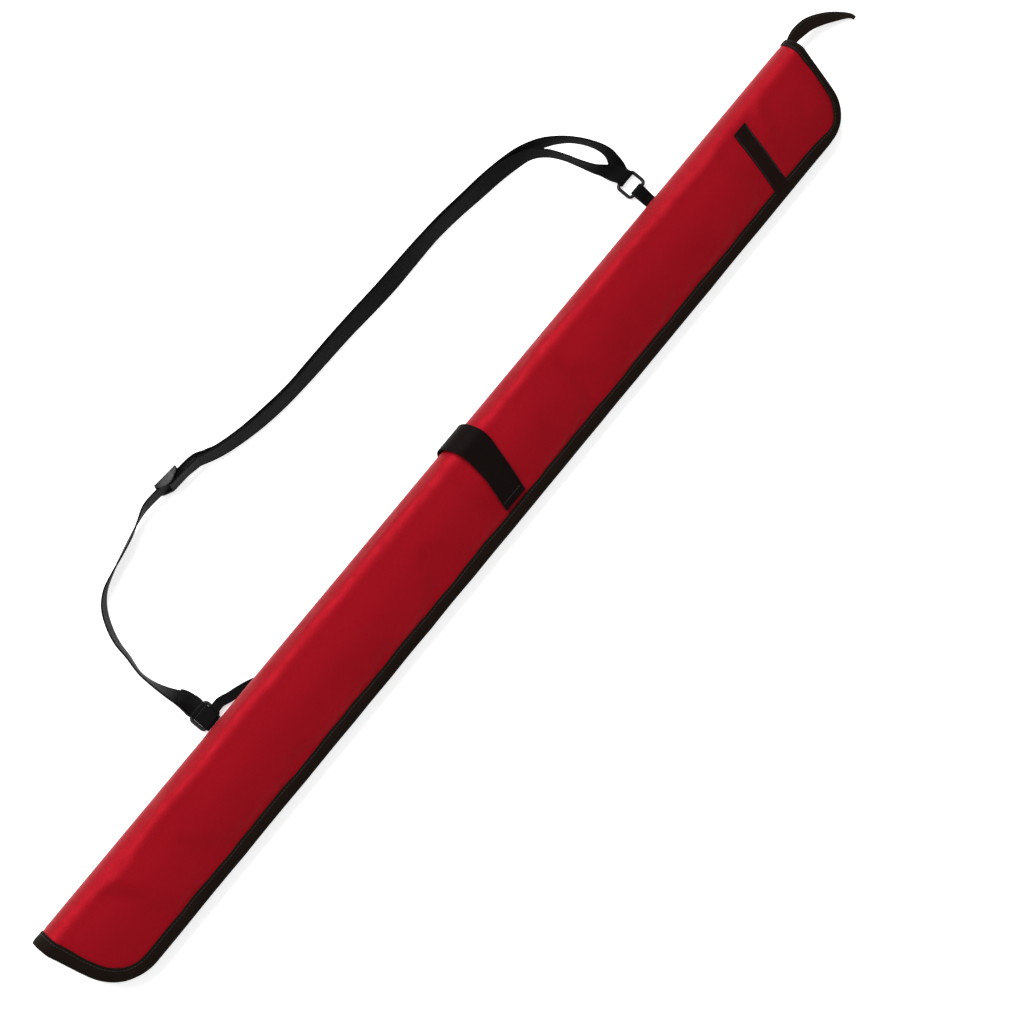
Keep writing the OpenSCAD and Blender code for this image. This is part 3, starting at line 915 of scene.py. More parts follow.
@dataclass
class Slack:
    """Small uneven fullness of the outer cloth, found by letting it settle as cloth."""

    columns: int = 151
    step: float = 4.0 * MM
    most: float = 1.3 * MM
    least: float = -0.35 * MM
    held_to: float = 9 * MM
    free_from: float = 14 * MM
    frames: int = 20

    def settle(self, panel: Panel, name: str) -> Tuple[np.ndarray, np.ndarray, np.ndarray]:
        """Runs the cloth and measures how far it has moved outwards.

        Args:
            panel: The panel whose outer cloth it is.
            name: Name of the cloth while it settles.

        Returns:
            x and q of the grid, and the height at each place.
        """
        x, q = panel.grid(self.held_to, self.columns, self.step)
        rest = panel.point(x, q, np.zeros_like(x))
        n, m = x.shape
        faces = [(i * m + j, i * m + j + 1, (i + 1) * m + j + 1, (i + 1) * m + j)
                 for i in range(n - 1) for j in range(m - 1)]
        mesh = bpy.data.meshes.new(name)
        mesh.from_pydata(rest.reshape(-1, 3).tolist(), [], faces)
        cloth = bpy.data.objects.new(name, mesh)
        bpy.context.scene.collection.objects.link(cloth)
        held = cloth.vertex_groups.new(name="held")
        border = np.zeros((n, m), bool)
        border[0] = border[-1] = border[:, 0] = border[:, -1] = True
        held.add(np.flatnonzero(border.ravel()).tolist(), 1.0, "REPLACE")
        modifier = cloth.modifiers.new("settle", "CLOTH")
        settings = modifier.settings
        settings.vertex_group_mass = "held"
        settings.quality, settings.mass, settings.air_damping = 6, 0.3, 4.0
        settings.tension_stiffness = settings.compression_stiffness = 25.0
        settings.shear_stiffness, settings.bending_stiffness = 8.0, 0.08
        settings.shrink_min = -0.012
        settings.use_pressure, settings.uniform_pressure_force = True, 3.0
        settings.effector_weights.gravity = 0.0
        modifier.collision_settings.use_collision = False
        scene = bpy.context.scene
        for number in range(1, self.frames + 1):
            scene.frame_set(number)
        ready = cloth.evaluated_get(bpy.context.evaluated_depsgraph_get())
        moved = np.array([v.co for v in ready.data.vertices]).reshape(n, m, 3)
        height = ((moved - rest) * panel.normal(x, q)).sum(-1)
        scene.frame_set(1)
        bpy.data.objects.remove(cloth)
        bpy.data.meshes.remove(mesh)
        inner = height[2:-2, 2:-2]
        LOG.info("%s settled: %.2f to %.2f mm", name, inner.min() / MM, inner.max() / MM)
        return x, q, np.clip(height - np.median(inner), self.least, self.most)

    def on_grid(self, panel: Panel, x: np.ndarray, q: np.ndarray, name: str) -> np.ndarray:
        """Height of the fullness at other places on the same panel.

        Args:
            panel: The panel.
            x: Places along the case.
            q: Places across it, one row at a time.
            name: Name of the cloth while it settles.

        Returns:
            Height at each place.
        """
        grid_x, grid_q, height = self.settle(panel, name)
        rows = grid_q[:, 0]
        along = np.linspace(0, 1, grid_x.shape[1])
        share = (x - x[:, :1]) / (x[:, -1:] - x[:, :1])
        by_share = np.array([np.interp(share[0], along, row) for row in height])
        out = np.empty_like(x)
        for j in range(x.shape[1]):
            out[:, j] = np.interp(q[:, j], rows, by_share[:, j])
        return out * smoothstep(self.held_to, self.free_from, panel.outline.inset_of(x, q))


# ---------------------------------------------------------------- the case


@dataclass
class PaddedCase:
    """Outer cloth, foam, lining and bound edges of both panels."""

    front: FrontPanel
    back: BackPanel
    fabric: float = 1.0 * MM
    foam: float = 4.0 * MM
    lining: float = 4.8 * MM
    cover_inset: float = 1.2 * MM
    tape: Tuple[Tuple[float, float], ...] = (
        (11.1, 0.1), (10.8, -0.2), (9.6, -0.3), (8.7, -0.12), (7.6, -0.34), (5.0, -0.42),
        (2.6, -0.38), (1.0, -0.1), (0.1, 0.7), (-0.15, 2.0), (-0.15, 3.2), (0.2, 4.3), (1.2, 5.0),
        (4.0, 5.2), (8.0, 5.15), (10.6, 5.05), (10.9, 4.85), (10.6, 4.6), (6.0, 4.5), (2.0, 4.35),
        (1.0, 3.6), (0.75, 2.4), (1.0, 1.3), (2.0, 0.62), (6.0, 0.5), (10.4, 0.42))
    seam_inset: float = 8.7 * MM
    sewn_down: Tuple[Tuple[float, float, float, float], ...] = (
        (0.399, 0.017, -0.068, 0.003), (0.038, 0.020, -0.060, 0.010))

    def held(self, x: np.ndarray, q: np.ndarray) -> np.ndarray:
        """Share of free movement that the label and the band leave to the cloth under them.

        Args:
            x: Places along the panel.
            q: Places across it.

        Returns:
            Shares from 0 to 1, in the same arrangement.
        """
        free = np.ones_like(x)
        for middle, half, low, high in self.sewn_down:
            beyond_x = np.maximum(np.abs(x - middle) - half, 0.0)
            beyond_q = np.maximum(np.maximum(low - q, q - high), 0.0)
            free = free * smoothstep(0.0, 14 * MM, np.hypot(beyond_x, beyond_q))
        return free

    def cover(self, panel: Panel, side: str, replaced: Sequence[str]) -> None:
        """Makes the outer cloth, foam and lining of one panel.

        Args:
            panel: The panel.
            side: Word at the end of the pieces' names.
            replaced: CAD nodes of the cloth, the foam and the lining, in that order.
        """
        x, q = panel.grid(self.cover_inset)
        relief = Slack().on_grid(panel, x, q, f"settling_{side}")
        edge = panel.outline.inset_of(x, q)
        pucker = 0.5 * (Ripple(11, 9 * MM, 26 * MM).at(x + 0.3 * q) + Ripple(12, 7 * MM, 19 * MM).at(x))
        band = smoothstep(8 * MM, 11 * MM, edge) * (1 - smoothstep(13 * MM, 24 * MM, edge))
        relief = (relief + 0.30 * MM * band * pucker) * (self.held(x, q) if panel is self.front else 1.0)
        if panel is self.back:
            relief = np.minimum(relief, 0.0)
        layers = (
            (f"cover_{side}", 0.0, self.fabric, Finish.RED, "red_fabric", relief),
            (f"padding_{side}", self.fabric, self.foam, Finish.FOAM, "foam", None),
            (f"lining_{side}", self.foam, self.lining, Finish.LINING, "lining", None))
        for (name, top, bottom, finish, slot, lift), nodes in zip(layers, replaced):
            piece = panel.layer(name, top, bottom, finish, slot, self.cover_inset, lift)
            panel.carry(piece)
            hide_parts(*nodes)

    def tape_width(self, line: np.ndarray, along: np.ndarray, seed: int) -> np.ndarray:
        """Share of the tape's width: fuller at the bottom end, narrower at the top end.

        Args:
            line: Points (x, q) of the cut.
            along: Their distances along it.
            seed: Picks the unevenness.

        Returns:
            One share for each point.
        """
        x, q = line.T
        uneven = 0.045 * Ripple(seed, 25 * MM, 140 * MM).at(along)
        fuller = 0.14 * (1 - smoothstep(-0.5, -0.47, x))
        narrower = 0.34 * smoothstep(0.435, 0.475, x)
        at_corner = 0.18 * smoothstep(0.47, 0.49, x) * smoothstep(0.022, 0.034, q)
        return 1 + uneven + fuller - narrower - at_corner

    def bind(self, panel: Panel, side: str, nodes: Sequence[str], sunk: float, seed: int) -> None:
        """Makes the bound edge of one panel and the row of stitches along it.

        Args:
            panel: The panel.
            side: Word at the end of the pieces' names.
            nodes: CAD nodes that the binding stands for.
            sunk: How far the tape's outer side lies below the plain one.
            seed: Picks the unevenness of the tape.
        """
        line, inward = panel.outline.line(0.0)
        along = arc_lengths(line)
        wide = self.tape_width(line, along, seed)
        swell = Ripple(seed + 1, 6 * MM, 21 * MM).at(along)
        sway = 0.35 * MM * Ripple(seed + 2, 60 * MM, 260 * MM).at(along)
        tape = np.array(self.tape) * MM
        share = np.clip(tape[:, 0] / tape[:, 0].max(), 0, 1)[None, :]
        inset = tape[None, :, 0] * (1 + (wide[:, None] - 1) * share) + np.abs(sway)[:, None]
        outside = tape[None, :, 1] < 2.4 * MM
        depth = tape[None, :, 1] + 0.11 * MM * swell[:, None] * share * (1 - share) * 4
        depth = depth + np.where(outside, sunk, 0.0)
        x = line[:, :1] + inward[:, :1] * inset
        q = line[:, 1:] + inward[:, 1:] * inset
        around = arc_lengths(np.column_stack([tape, 0 * tape[:, 0]]))
        lay = np.zeros(x.shape + (3,))
        lay[..., 0], lay[..., 1] = along[:, None], around[None, :]
        rings = panel.point(x, q, depth)
        piece = tube_piece(rings, lay, f"binding_{side}", Finish.BINDING, "binding_tape", 70)
        panel.carry(piece)
        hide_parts(*nodes)
        inset = self.seam_inset * wide + np.abs(sway)
        x, q = line[:, 0] + inward[:, 0] * inset, line[:, 1] + inward[:, 1] * inset
        seam = panel.point(x, q, np.full(len(x), sunk - 0.2 * MM))
        panel.carry(stitches(f"stitching_{side}", seam, panel.normal(x, q)))

    def build(self) -> None:
        """Makes every layer of both panels."""
        self.cover(self.front, "front", (("front_outer", "fold_outer"), ("front_foam", "fold_foam"),
                                         ("front_lining", "fold_lining")))
        self.cover(self.back, "back", (("back_outer",), ("back_foam",), ("back_lining",)))
        self.bind(self.front, "front", ("front_binding", "fold_binding"), 0.0, 21)
        self.bind(self.back, "back", ("back_binding",), 0.45 * MM, 31)


@dataclass
class ZipClosure:
    """Coil zip between the two bound edges, with its slider and pull."""

    front: FrontPanel
    back: BackPanel
    inset: float = 5.5 * MM
    pitch: float = 1.7 * MM
    row_height: float = 1.15 * MM

    def middle(self, y: np.ndarray) -> np.ndarray:
        """Height where the two rows meet."""
        back_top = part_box("back_binding")[1].z
        front_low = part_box("front_binding")[0].z
        return (back_top + front_low) / 2 + (y - self.back.outline.edge) * math.tan(self.front.slope / 2)

    def path(self) -> np.ndarray:
        """Line of the zip seen from above, with its directions into the case."""
        line, inward = self.back.outline.line(self.inset, 1.0 * MM)
        kept = line[:, 1] <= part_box("back_zip_teeth")[1].y
        return np.column_stack([line, inward])[kept]

    def row(self, path: np.ndarray, name: str, up: float, body: str, node: str) -> None:
        """One row of coil loops.

        Args:
            path: Line of the zip.
            name: Name of the piece.
            up: 1 for the front's row, -1 for the back's.
            body: Body that it rides on.
            node: CAD node that it stands for.
        """
        flat = np.column_stack([path[:, :2], np.zeros(len(path))])
        along = arc_lengths(flat)
        marks = np.arange(self.pitch * (1 if up > 0 else 1.5), along[-1] - self.pitch, self.pitch)
        x, y, inward_x, inward_y = at_marks(marks, along, path).T
        places = np.column_stack([x, y, self.middle(y) + up * self.row_height])
        inward = unit(np.column_stack([inward_x, inward_y, 0 * marks]))
        rise = np.broadcast_to(np.array([0.0, 0.0, up]), inward.shape)
        axes = np.stack([rise, np.cross(inward, rise), inward], axis=1)
        points, faces = capsule(2.35 * MM, 0.62 * MM, 0.95 * MM)
        shape = Shape()
        shape.copies(points, faces, places, axes, np.column_stack([marks, 0 * marks, 0 * marks]))
        mount(shape.build(name, Finish.COIL, "zip_coil"), body, node)

    def tape(self, path: np.ndarray, name: str, up: float, body: str, node: str) -> None:
        """Woven tape that carries one row.

        Args:
            path: Line of the zip.
            name: Name of the piece.
            up: 1 for the front's tape, -1 for the back's.
            body: Body that it rides on.
            node: CAD node that it stands for.
        """
        x, y = path[:, 0], path[:, 1]
        near = self.middle(y) + up * 1.0 * MM
        if up > 0:
            q = (y - self.front.hinge[0]) / math.cos(self.front.slope)
            far = self.front.point(x, q, np.full(len(x), 4.5 * MM))[:, 2]
        else:
            far = np.full(len(x), 4.5 * MM)
        section = [(0.35, 0.0), (0.4, 0.15), (0.3, 0.5), (0.35, 1.0), (-0.35, 1.0), (-0.3, 0.5), (-0.4, 0.15),
                   (-0.35, 0.0)]
        rings = np.empty((len(x), len(section), 3))
        lay = np.zeros_like(rings)
        along = arc_lengths(np.column_stack([x, y, 0 * x]))
        for k, (off, share) in enumerate(section):
            rings[:, k, 0] = x + path[:, 2] * off * MM
            rings[:, k, 1] = y + path[:, 3] * off * MM
            rings[:, k, 2] = near + (far - near) * share
            lay[:, k, 0], lay[:, k, 1] = along, share * 5 * MM
        mount(tube_piece(rings, lay, name, Finish.ZIP_TAPE, "zip_fabric"), body, node)

    def stops(self) -> None:
        """Two metal staples at the ends of the rows."""
        low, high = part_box("zip_stops")
        points, faces = capsule(3.0 * MM, 0.7 * MM, 1.25 * MM, 8)
        axes = np.array([[[1.0, 0, 0], [0, 0, 1.0], [0, 1.0, 0]]])
        shape = Shape()
        for x in (low.x + 1.5 * MM, high.x - 1.5 * MM):
            for z in (-0.7 * MM, 0.7 * MM):
                centre = np.array([[x, (low.y + high.y) / 2, (low.z + high.z) / 2 + z]])
                shape.copies(points, faces, centre, axes, np.zeros((1, 3)))
        mount(shape.build("zip_end_staples", Finish.METAL, "dark_metal"), "case", "zip_stops")

    def slider(self, pin_at: np.ndarray) -> None:
        """Slider body: two plates, the wedge between them and the lugs for the pull.

        Args:
            pin_at: Middle of the pull's pin.
        """
        low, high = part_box("zip_slider")
        x = (low.x + high.x) / 2
        y = self.back.outline.edge + self.inset
        z = float(self.middle(np.array(y)))
        half = 5.5 * MM
        edge = [(-half, -1.9 * MM), (-half + 1.2 * MM, -2.7 * MM), (half - 3 * MM, -3.2 * MM),
                (half - 0.8 * MM, -2.7 * MM), (half, -1.4 * MM)]
        loop = np.array(edge + [(a, -b) for a, b in reversed(edge)])
        body = Shape()
        for side in (-1, 1):
            middle = np.array([x, y + side * 1.95 * MM, z])
            add_plate(body, loop, 1.1 * MM, middle, (1, 0, 0), (0, 0, 1), 0.28 * MM)
        wedge = np.array([(-1.5, -0.3), (0.9, -0.3), (1.5, 0.0), (0.9, 0.3), (-1.5, 0.3)]) * MM
        front_end = np.array([x + half - 1.6 * MM, y, z])
        add_plate(body, wedge, 3.0 * MM, front_end, (1, 0, 0), (0, 0, 1), 0.05 * MM)
        lug = np.array([(-1.5, -1.9), (1.5, -1.9), (1.5, 0.6), (0.9, 1.25), (-0.9, 1.25), (-1.5, 0.6)]) * MM
        for side in (-1, 1):
            middle = pin_at + np.array([0, 0.15 * MM, side * 2.35 * MM])
            add_plate(body, lug, 1.1 * MM, middle, (1, 0, 0), (0, -1, 0), 0.2 * MM)
        mount(body.build("zip_slider_body", Finish.METAL, "dark_metal", 35), "slider", "zip_slider")

    def lathe(self, pin_at: np.ndarray, profile: Sequence[Tuple[float, float]]) -> np.ndarray:
        """Rings about the pin's axis, from (height, radius) pairs in millimetres."""
        return np.array([[pin_at + MM * np.array([math.cos(t) * r, math.sin(t) * r, h]) for t in turns(14)]
                         for h, r in profile])

    def pull(self, pin_at: np.ndarray) -> None:
        """Riveted pin and the pull tab that hangs on it.

        Args:
            pin_at: Middle of the pin.
        """
        head = ((-2.95, 0.5), (-2.8, 0.8), (-2.55, 0.85), (-2.5, 0.6))
        rings = self.lathe(pin_at, head + tuple((-h, r) for h, r in reversed(head)))
        rivet = tube_piece(rings, np.zeros_like(rings), "zip_pull_rivet", Finish.METAL, "dark_metal", 35)
        mount(rivet, "slider", "zip_pull_pin")
        tab = Shape()
        edge = [(-1.6, -1.1), (-9, -1.25), (-12.5, -2.1), (-22.4, -2.4), (-23.6, -1.9), (-24, -0.8)]
        grip = np.array(edge + [(a, -b) for a, b in reversed(edge)]) * MM
        out = np.array([0, -0.1 * MM, 0])
        add_plate(tab, grip, 1.0 * MM, pin_at + out, (1, 0, 0), (0, 0, 1), 0.28 * MM)
        points, faces = capsule(3.2 * MM, 0.35 * MM, 0.3 * MM, 8)
        axes = np.array([[[0, 0, 1.0], [1.0, 0, 0], [0, 1.0, 0]]])
        for k in range(5):
            place = pin_at + out + MM * np.array([-14.5 - 1.8 * k, -0.5, 0])
            tab.copies(points, faces, place[None], axes, np.zeros((1, 3)))
        half_eye = ((-1.5, 0.78), (-1.5, 1.15), (-1.2, 1.35))
        eye = self.lathe(pin_at, half_eye + tuple((-h, r) for h, r in reversed(half_eye)))
        tab.tube(eye, np.zeros_like(eye), closed=True)
        mount(tab.build("zip_pull_tab", Finish.METAL, "dark_metal", 40), "pull", "zip_pull")

    def build(self) -> None:
        """Makes the whole zip."""
        path = self.path()
        for name, up, body in (("front", 1.0, "front"), ("back", -1.0, "case")):
            self.row(path, f"zip_coil_{name}", up, body, f"{name}_zip_teeth")
            self.tape(path, f"zip_tape_{name}", up, body, f"{name}_zip_tape")
        self.stops()
        low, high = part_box("zip_pull_pin")
        pin_at = np.array((low + high) / 2)
        self.slider(pin_at)
        self.pull(pin_at)


def add_plate(shape: Shape, loop: np.ndarray, thick: float, middle: np.ndarray, right: Point, up: Point,
              round_by: float) -> None:
    """Adds a flat plate with softened edges.

    Args:
        shape: Piece that it becomes part of.
        loop: Its outline as (right, up) pairs.
        thick: Its thickness.
        middle: Where its own origin stands.
        right: Direction of the first coordinate.
        up: Direction of the second.
        round_by: How much its edges are rounded.
    """
    a, b = np.array(right, float), np.array(up, float)
    out = np.cross(a, b)
    centre = loop.mean(0)
    inner = centre + (loop - centre) * (1 - round_by / np.abs(loop - centre).max(0).min())
    half = thick / 2
    rings = []
    nearly = (inner + loop * 2) / 3
    for height, outline in ((-half, inner), (-half + round_by * 0.3, nearly), (-half + round_by, loop),
                            (half - round_by, loop), (half - round_by * 0.3, nearly), (half, inner)):
        rings.append(middle + outline[:, :1] * a + outline[:, 1:] * b + height * out)
    rings = np.array(rings)
    shape.tube(rings, np.zeros_like(rings))


@dataclass
class ClosureBand:
    """Hook-and-loop band: slack over the spine, its square end pressed onto the front."""

    front: FrontPanel
    width: float = 25 * MM
    thick: float = 1.2 * MM
    split_q: float = -9 * MM
    spread: float = 0.14
    pads: Tuple[float, float] = (-56 * MM, -26 * MM)
    seam_beyond: float = -51 * MM
    course: Tuple[Point, ...] = (
        (39.5, 34.4, 0.75), (35.0, 34.8, 0.8), (29.0, 36.2, 1.5), (22.0, 38.2, 2.9), (14.0, 40.8, 4.0),
        (6.0, 43.2, 4.5), (-1.0, 44.3, 4.3), (-9.0, 43.8, 3.7), (-17.0, 42.4, 3.2), (-27.0, 40.6, 2.95),
        (-38.0, 37.9, 2.9), (-48.0, 35.2, 2.9), (-57.0, 32.9, 2.9))

    def ribbon_at(self, rows: np.ndarray, width: float, thick: float) -> Tuple[np.ndarray, np.ndarray]:
        """Rings of cloth that follow the front at a height.

        Args:
            rows: q, x and height of the middle of the cloth.
            width: Its width.
            thick: Its thickness.

        Returns:
            The rings and their cloth coordinates.
        """
        q, x, height = rows.T
        section = flat_section(width / 2, thick / 2)
        wide = 1 + self.spread * smoothstep(-30 * MM, 2 * MM, q)
        gx = x[:, None] + wide[:, None] * section[None, :, 0]
        gq = np.broadcast_to(q[:, None], gx.shape)
        rings = self.front.point(gx, gq, -(height[:, None] + section[None, :, 1]))
        lay = np.zeros_like(rings)
        lay[..., 0] = arc_lengths(np.column_stack([x, q, 0 * q]))[:, None]
        lay[..., 1] = section[:, 0]
        return rings, lay

    def build(self) -> None:
        """Makes the two runs of the band and the patches under it."""
        course = resample(np.array(self.course) * MM, 1.2 * MM)
        cut = int(np.argmin(np.abs(course[:, 0] - self.split_q)))
        for name, rows, node in (("band_over_spine", course[: cut + 1], "band_root"),
                                 ("band_loose_end", course[cut:], "band_end")):
            rings, lay = self.ribbon_at(rows, self.width, self.thick)
            piece = tube_piece(rings, lay, name, Finish.BAND, "band_webbing")
            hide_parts(node)
            if node == "band_root":
                self.front.carry(piece)
            else:
                x, above = np.array([0.045]), np.array([-3 * MM])
                start, end = (self.front.point(x, np.array([self.split_q - beyond]), above)[0]
                              for beyond in (MM, 9 * MM))
                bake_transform(piece)
        for name, height, body, node in (("loop_pad", 0.5 * MM, "front", "loop_patch"),
                                         ("hook_pad", 1.75 * MM, "band_flap", "hook_patch")):
            rows = course[(course[:, 0] < self.pads[1]) & (course[:, 0] > self.pads[0])].copy()
            rows[:, 2] = height
            rings, lay = self.ribbon_at(rows, self.width - 3 * MM, 0.9 * MM)
            mount(tube_piece(rings, lay, name, Finish.PILE, "hook_and_loop"), body, node)
        count = 40
        seam_q, seam_x, _ = course[course[:, 0] < self.seam_beyond][0]
        x = seam_x + np.linspace(-1, 1, count) * (self.width / 2 - 1.5 * MM)
        q = np.full(count, seam_q)
        seam = self.front.point(x, q, np.full(count, -(2.9 + 0.65) * MM))
        row = stitches("band_end_stitching", seam, self.front.normal(x, q), 2.6 * MM, slot="band_webbing")
        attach(row, "band_flap")


@dataclass
class WovenLabel:
    """Plain woven label, its end tucked in under the binding."""

    front: FrontPanel
    width: float = 15.5 * MM
    thick: float = 0.6 * MM
    top: Tuple[float, float] = (0.4052, -1.5 * MM)
    bottom: Tuple[float, float] = (0.3926, -65.5 * MM)

    def build(self) -> None:
        """Makes the label and a border of fine stitches."""
        share = np.linspace(0, 1, 60)
        x = self.top[0] + (self.bottom[0] - self.top[0]) * share
        q = self.top[1] + (self.bottom[1] - self.top[1]) * share
        height = 0.45 * MM + 1.3 * MM * (1 - smoothstep(0, 0.2, share))
        height = height - 0.35 * MM * smoothstep(0.88, 1, share)
        band = ClosureBand(self.front, spread=0.0)
        rings, lay = band.ribbon_at(np.column_stack([q, x, height]), self.width, self.thick)
        piece = tube_piece(rings, lay, "woven_label", Finish.LABEL, "label_cloth")
        self.front.carry(piece)
        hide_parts("label")
        for side in (-1, 1):
            off = side * (self.width / 2 - 1.2 * MM)
            gx, gq = x[2:50] + off, q[2:50]
            seam = self.front.point(gx, gq, -(height[2:50] + self.thick / 2))
            name = "label_stitching_left" if side < 0 else "label_stitching_right"
            self.front.carry(stitches(name, seam, self.front.normal(gx, gq), 1.9 * MM, slot="label_cloth"))


@dataclass
class CornerTail:
    """Tail of folded binding tape left hanging at the spine's top corner."""

    root: Point = (0.5006, 0.038, 0.0173)
    drop: float = math.radians(13)
    thick: float = 1.7 * MM
    course: Tuple[Point, ...] = (
        (-7.0, 0.4, 8.0), (0.0, 0.8, 8.4), (6.0, 1.5, 10.0), (13.0, 1.4, 11.6), (25.4, -0.8, 12.2),
        (38.0, -6.6, 11.4), (49.4, -13.8, 9.8), (57.8, -20.4, 6.8), (61.8, -25.0, 4.8), (62.2, -28.4, 3.8))

    def build(self) -> None:
        """Makes the tail and its stitching."""
        rows = resample(np.array(self.course) * MM, 1.2 * MM)
        x, y, width = rows.T
        share = np.clip(x / x.max(), 0, 1)
        arch = 2.2 * MM * np.sin(math.pi * share) - 0.9 * MM
        turn = Matrix.Rotation(self.drop, 3, "Y")
        place = np.array([tuple(turn @ Vector(p) + Vector(self.root)) for p in np.column_stack([x, y, arch])])
        heading = tangents(place)
        lean = -0.5 * share**2
        flat = unit(np.cross(np.broadcast_to([0.0, 0, 1.0], heading.shape), heading))
        across = flat * np.cos(lean)[:, None] + np.cross(heading, flat) * np.sin(lean)[:, None]
        section = flat_section(0.5, self.thick / 2, 0.3 * MM)
        rings, lay = ribbon(place, across, section, width)
        lay[..., 1] *= 9 * MM
        piece = tube_piece(rings, lay, "corner_tail", Finish.BINDING, "binding_tape")
        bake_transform(piece)
        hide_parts("hanging_tab")
        up = unit(np.cross(heading, across))
        seam = place + across * (width * 0.32)[:, None] + up * (self.thick / 2 + 0.15 * MM)
        row = stitches("corner_tail_stitching", seam[8:-4], up[8:-4])
        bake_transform(row)


# ---------------------------------------------------------------- strap and fittings


class Side(Enum):
    """The two rings that hold the strap."""

    LOW = "low"
    HIGH = "high"


@dataclass
class RingFitting:
    """Moulded ring and the webbing tab that holds it to the spine."""

    side: Side
    centre: Tuple[float, float]
    height: float = 3.4 * MM
    bar: float = 1.6 * MM
    size: Tuple[float, float] = (19.5 * MM, 15 * MM)
    corner: float = 3.0 * MM
    tab_thick: float = 1.15 * MM

    def ring(self) -> None:
        """Makes the moulded ring."""
        half_x, half_y = self.size[0] / 2 - self.corner, self.size[1] / 2 - self.corner
        loop, out = rounded_frame(half_x, half_y, self.corner, 9)
        path = np.column_stack([loop + self.centre, np.full(len(loop), self.height)])
        out = np.column_stack([out, np.zeros(len(out))])
        turn = turns(16)
        rings = (path[:, None] + self.bar * (np.cos(turn)[None, :, None] * out[:, None]
                 + np.sin(turn)[None, :, None] * np.array([0, 0, 1.0])))
        shape = Shape()
        shape.tube(rings, np.zeros_like(rings), closed=True)
        name = self.side.value
        piece = shape.build(f"{name}_ring_moulding", Finish.PLASTIC, "plastic")
        mount(piece, f"ring_{name}", "lower_ring" if self.side is Side.LOW else "upper_ring")

    def tab(self) -> None:
        """Makes the webbing tab, doubled round one bar of the ring and running under the spine."""
        radius = self.bar + 0.15 * MM + self.tab_thick / 2
        low, high = self.height - radius, self.height + radius
        bend = np.radians((-60, -30, 0, 30, 60))
        if self.side is Side.HIGH:
            bar_y, x = self.centre[1] - self.size[1] / 2, self.centre[0]
            arc = [(x, bar_y + radius * math.cos(t), self.height + radius * math.sin(t)) for t in bend]
            under = [(x, 0.033, 0.7 * MM), (x, 0.046, 0.7 * MM), (x, bar_y, low)]
            over = [(x, bar_y, high), (x, bar_y - 6 * MM, 4.2 * MM), (x, 0.046, 2.1 * MM),
                    (x, 0.033, 2.0 * MM)]
            rows = resample(np.array(under + arc + over), 1.0 * MM)
            across, width = np.broadcast_to(np.array([1.0, 0, 0]), rows.shape), 11.5 * MM
        else:
            bar_x, y = self.centre[0] + self.size[0] / 2, self.centre[1] - 2.6 * MM
            plan = [(-0.2120, 0.0335), (-0.2180, 0.0382), (-0.2265, 0.0428), (-0.2360, 0.0464),
                    (-0.2450, 0.0492), (-0.2530, y)]
            heights = (0.0046, 0.0034, 0.0026, 0.0022, 0.0020, 0.0019)
            arc = [(bar_x - radius * math.cos(t), y, self.height + radius * math.sin(t)) for t in bend]
            under = [(*place, 0.7 * MM) for place in plan] + [(bar_x, y, low)]
            over = [(bar_x, y, high)] + [(*place, h) for place, h in zip(reversed(plan), heights)]
            rows = resample(np.array(under + arc + over), 1.0 * MM)
            ahead = tangents(rows * np.array([1.0, 1.0, 0.0]) + np.array([0, 0, 1e-9]))
            across = unit(np.column_stack([-ahead[:, 1], ahead[:, 0], 0 * ahead[:, 0]]))
            across[int(np.argmin(rows[:, 0])):] *= -1
            across[rows[:, 0] < bar_x + 4 * MM] = (0.0, -1.0, 0.0)
            width = 8.6 * MM
        rings, lay = ribbon(rows, across, flat_section(width / 2, self.tab_thick / 2))
        name = "lower_tab" if self.side is Side.LOW else "upper_tab"
        mount(tube_piece(rings, lay, f"{name}_webbing", Finish.WEBBING, "strap_webbing"), "case", name)


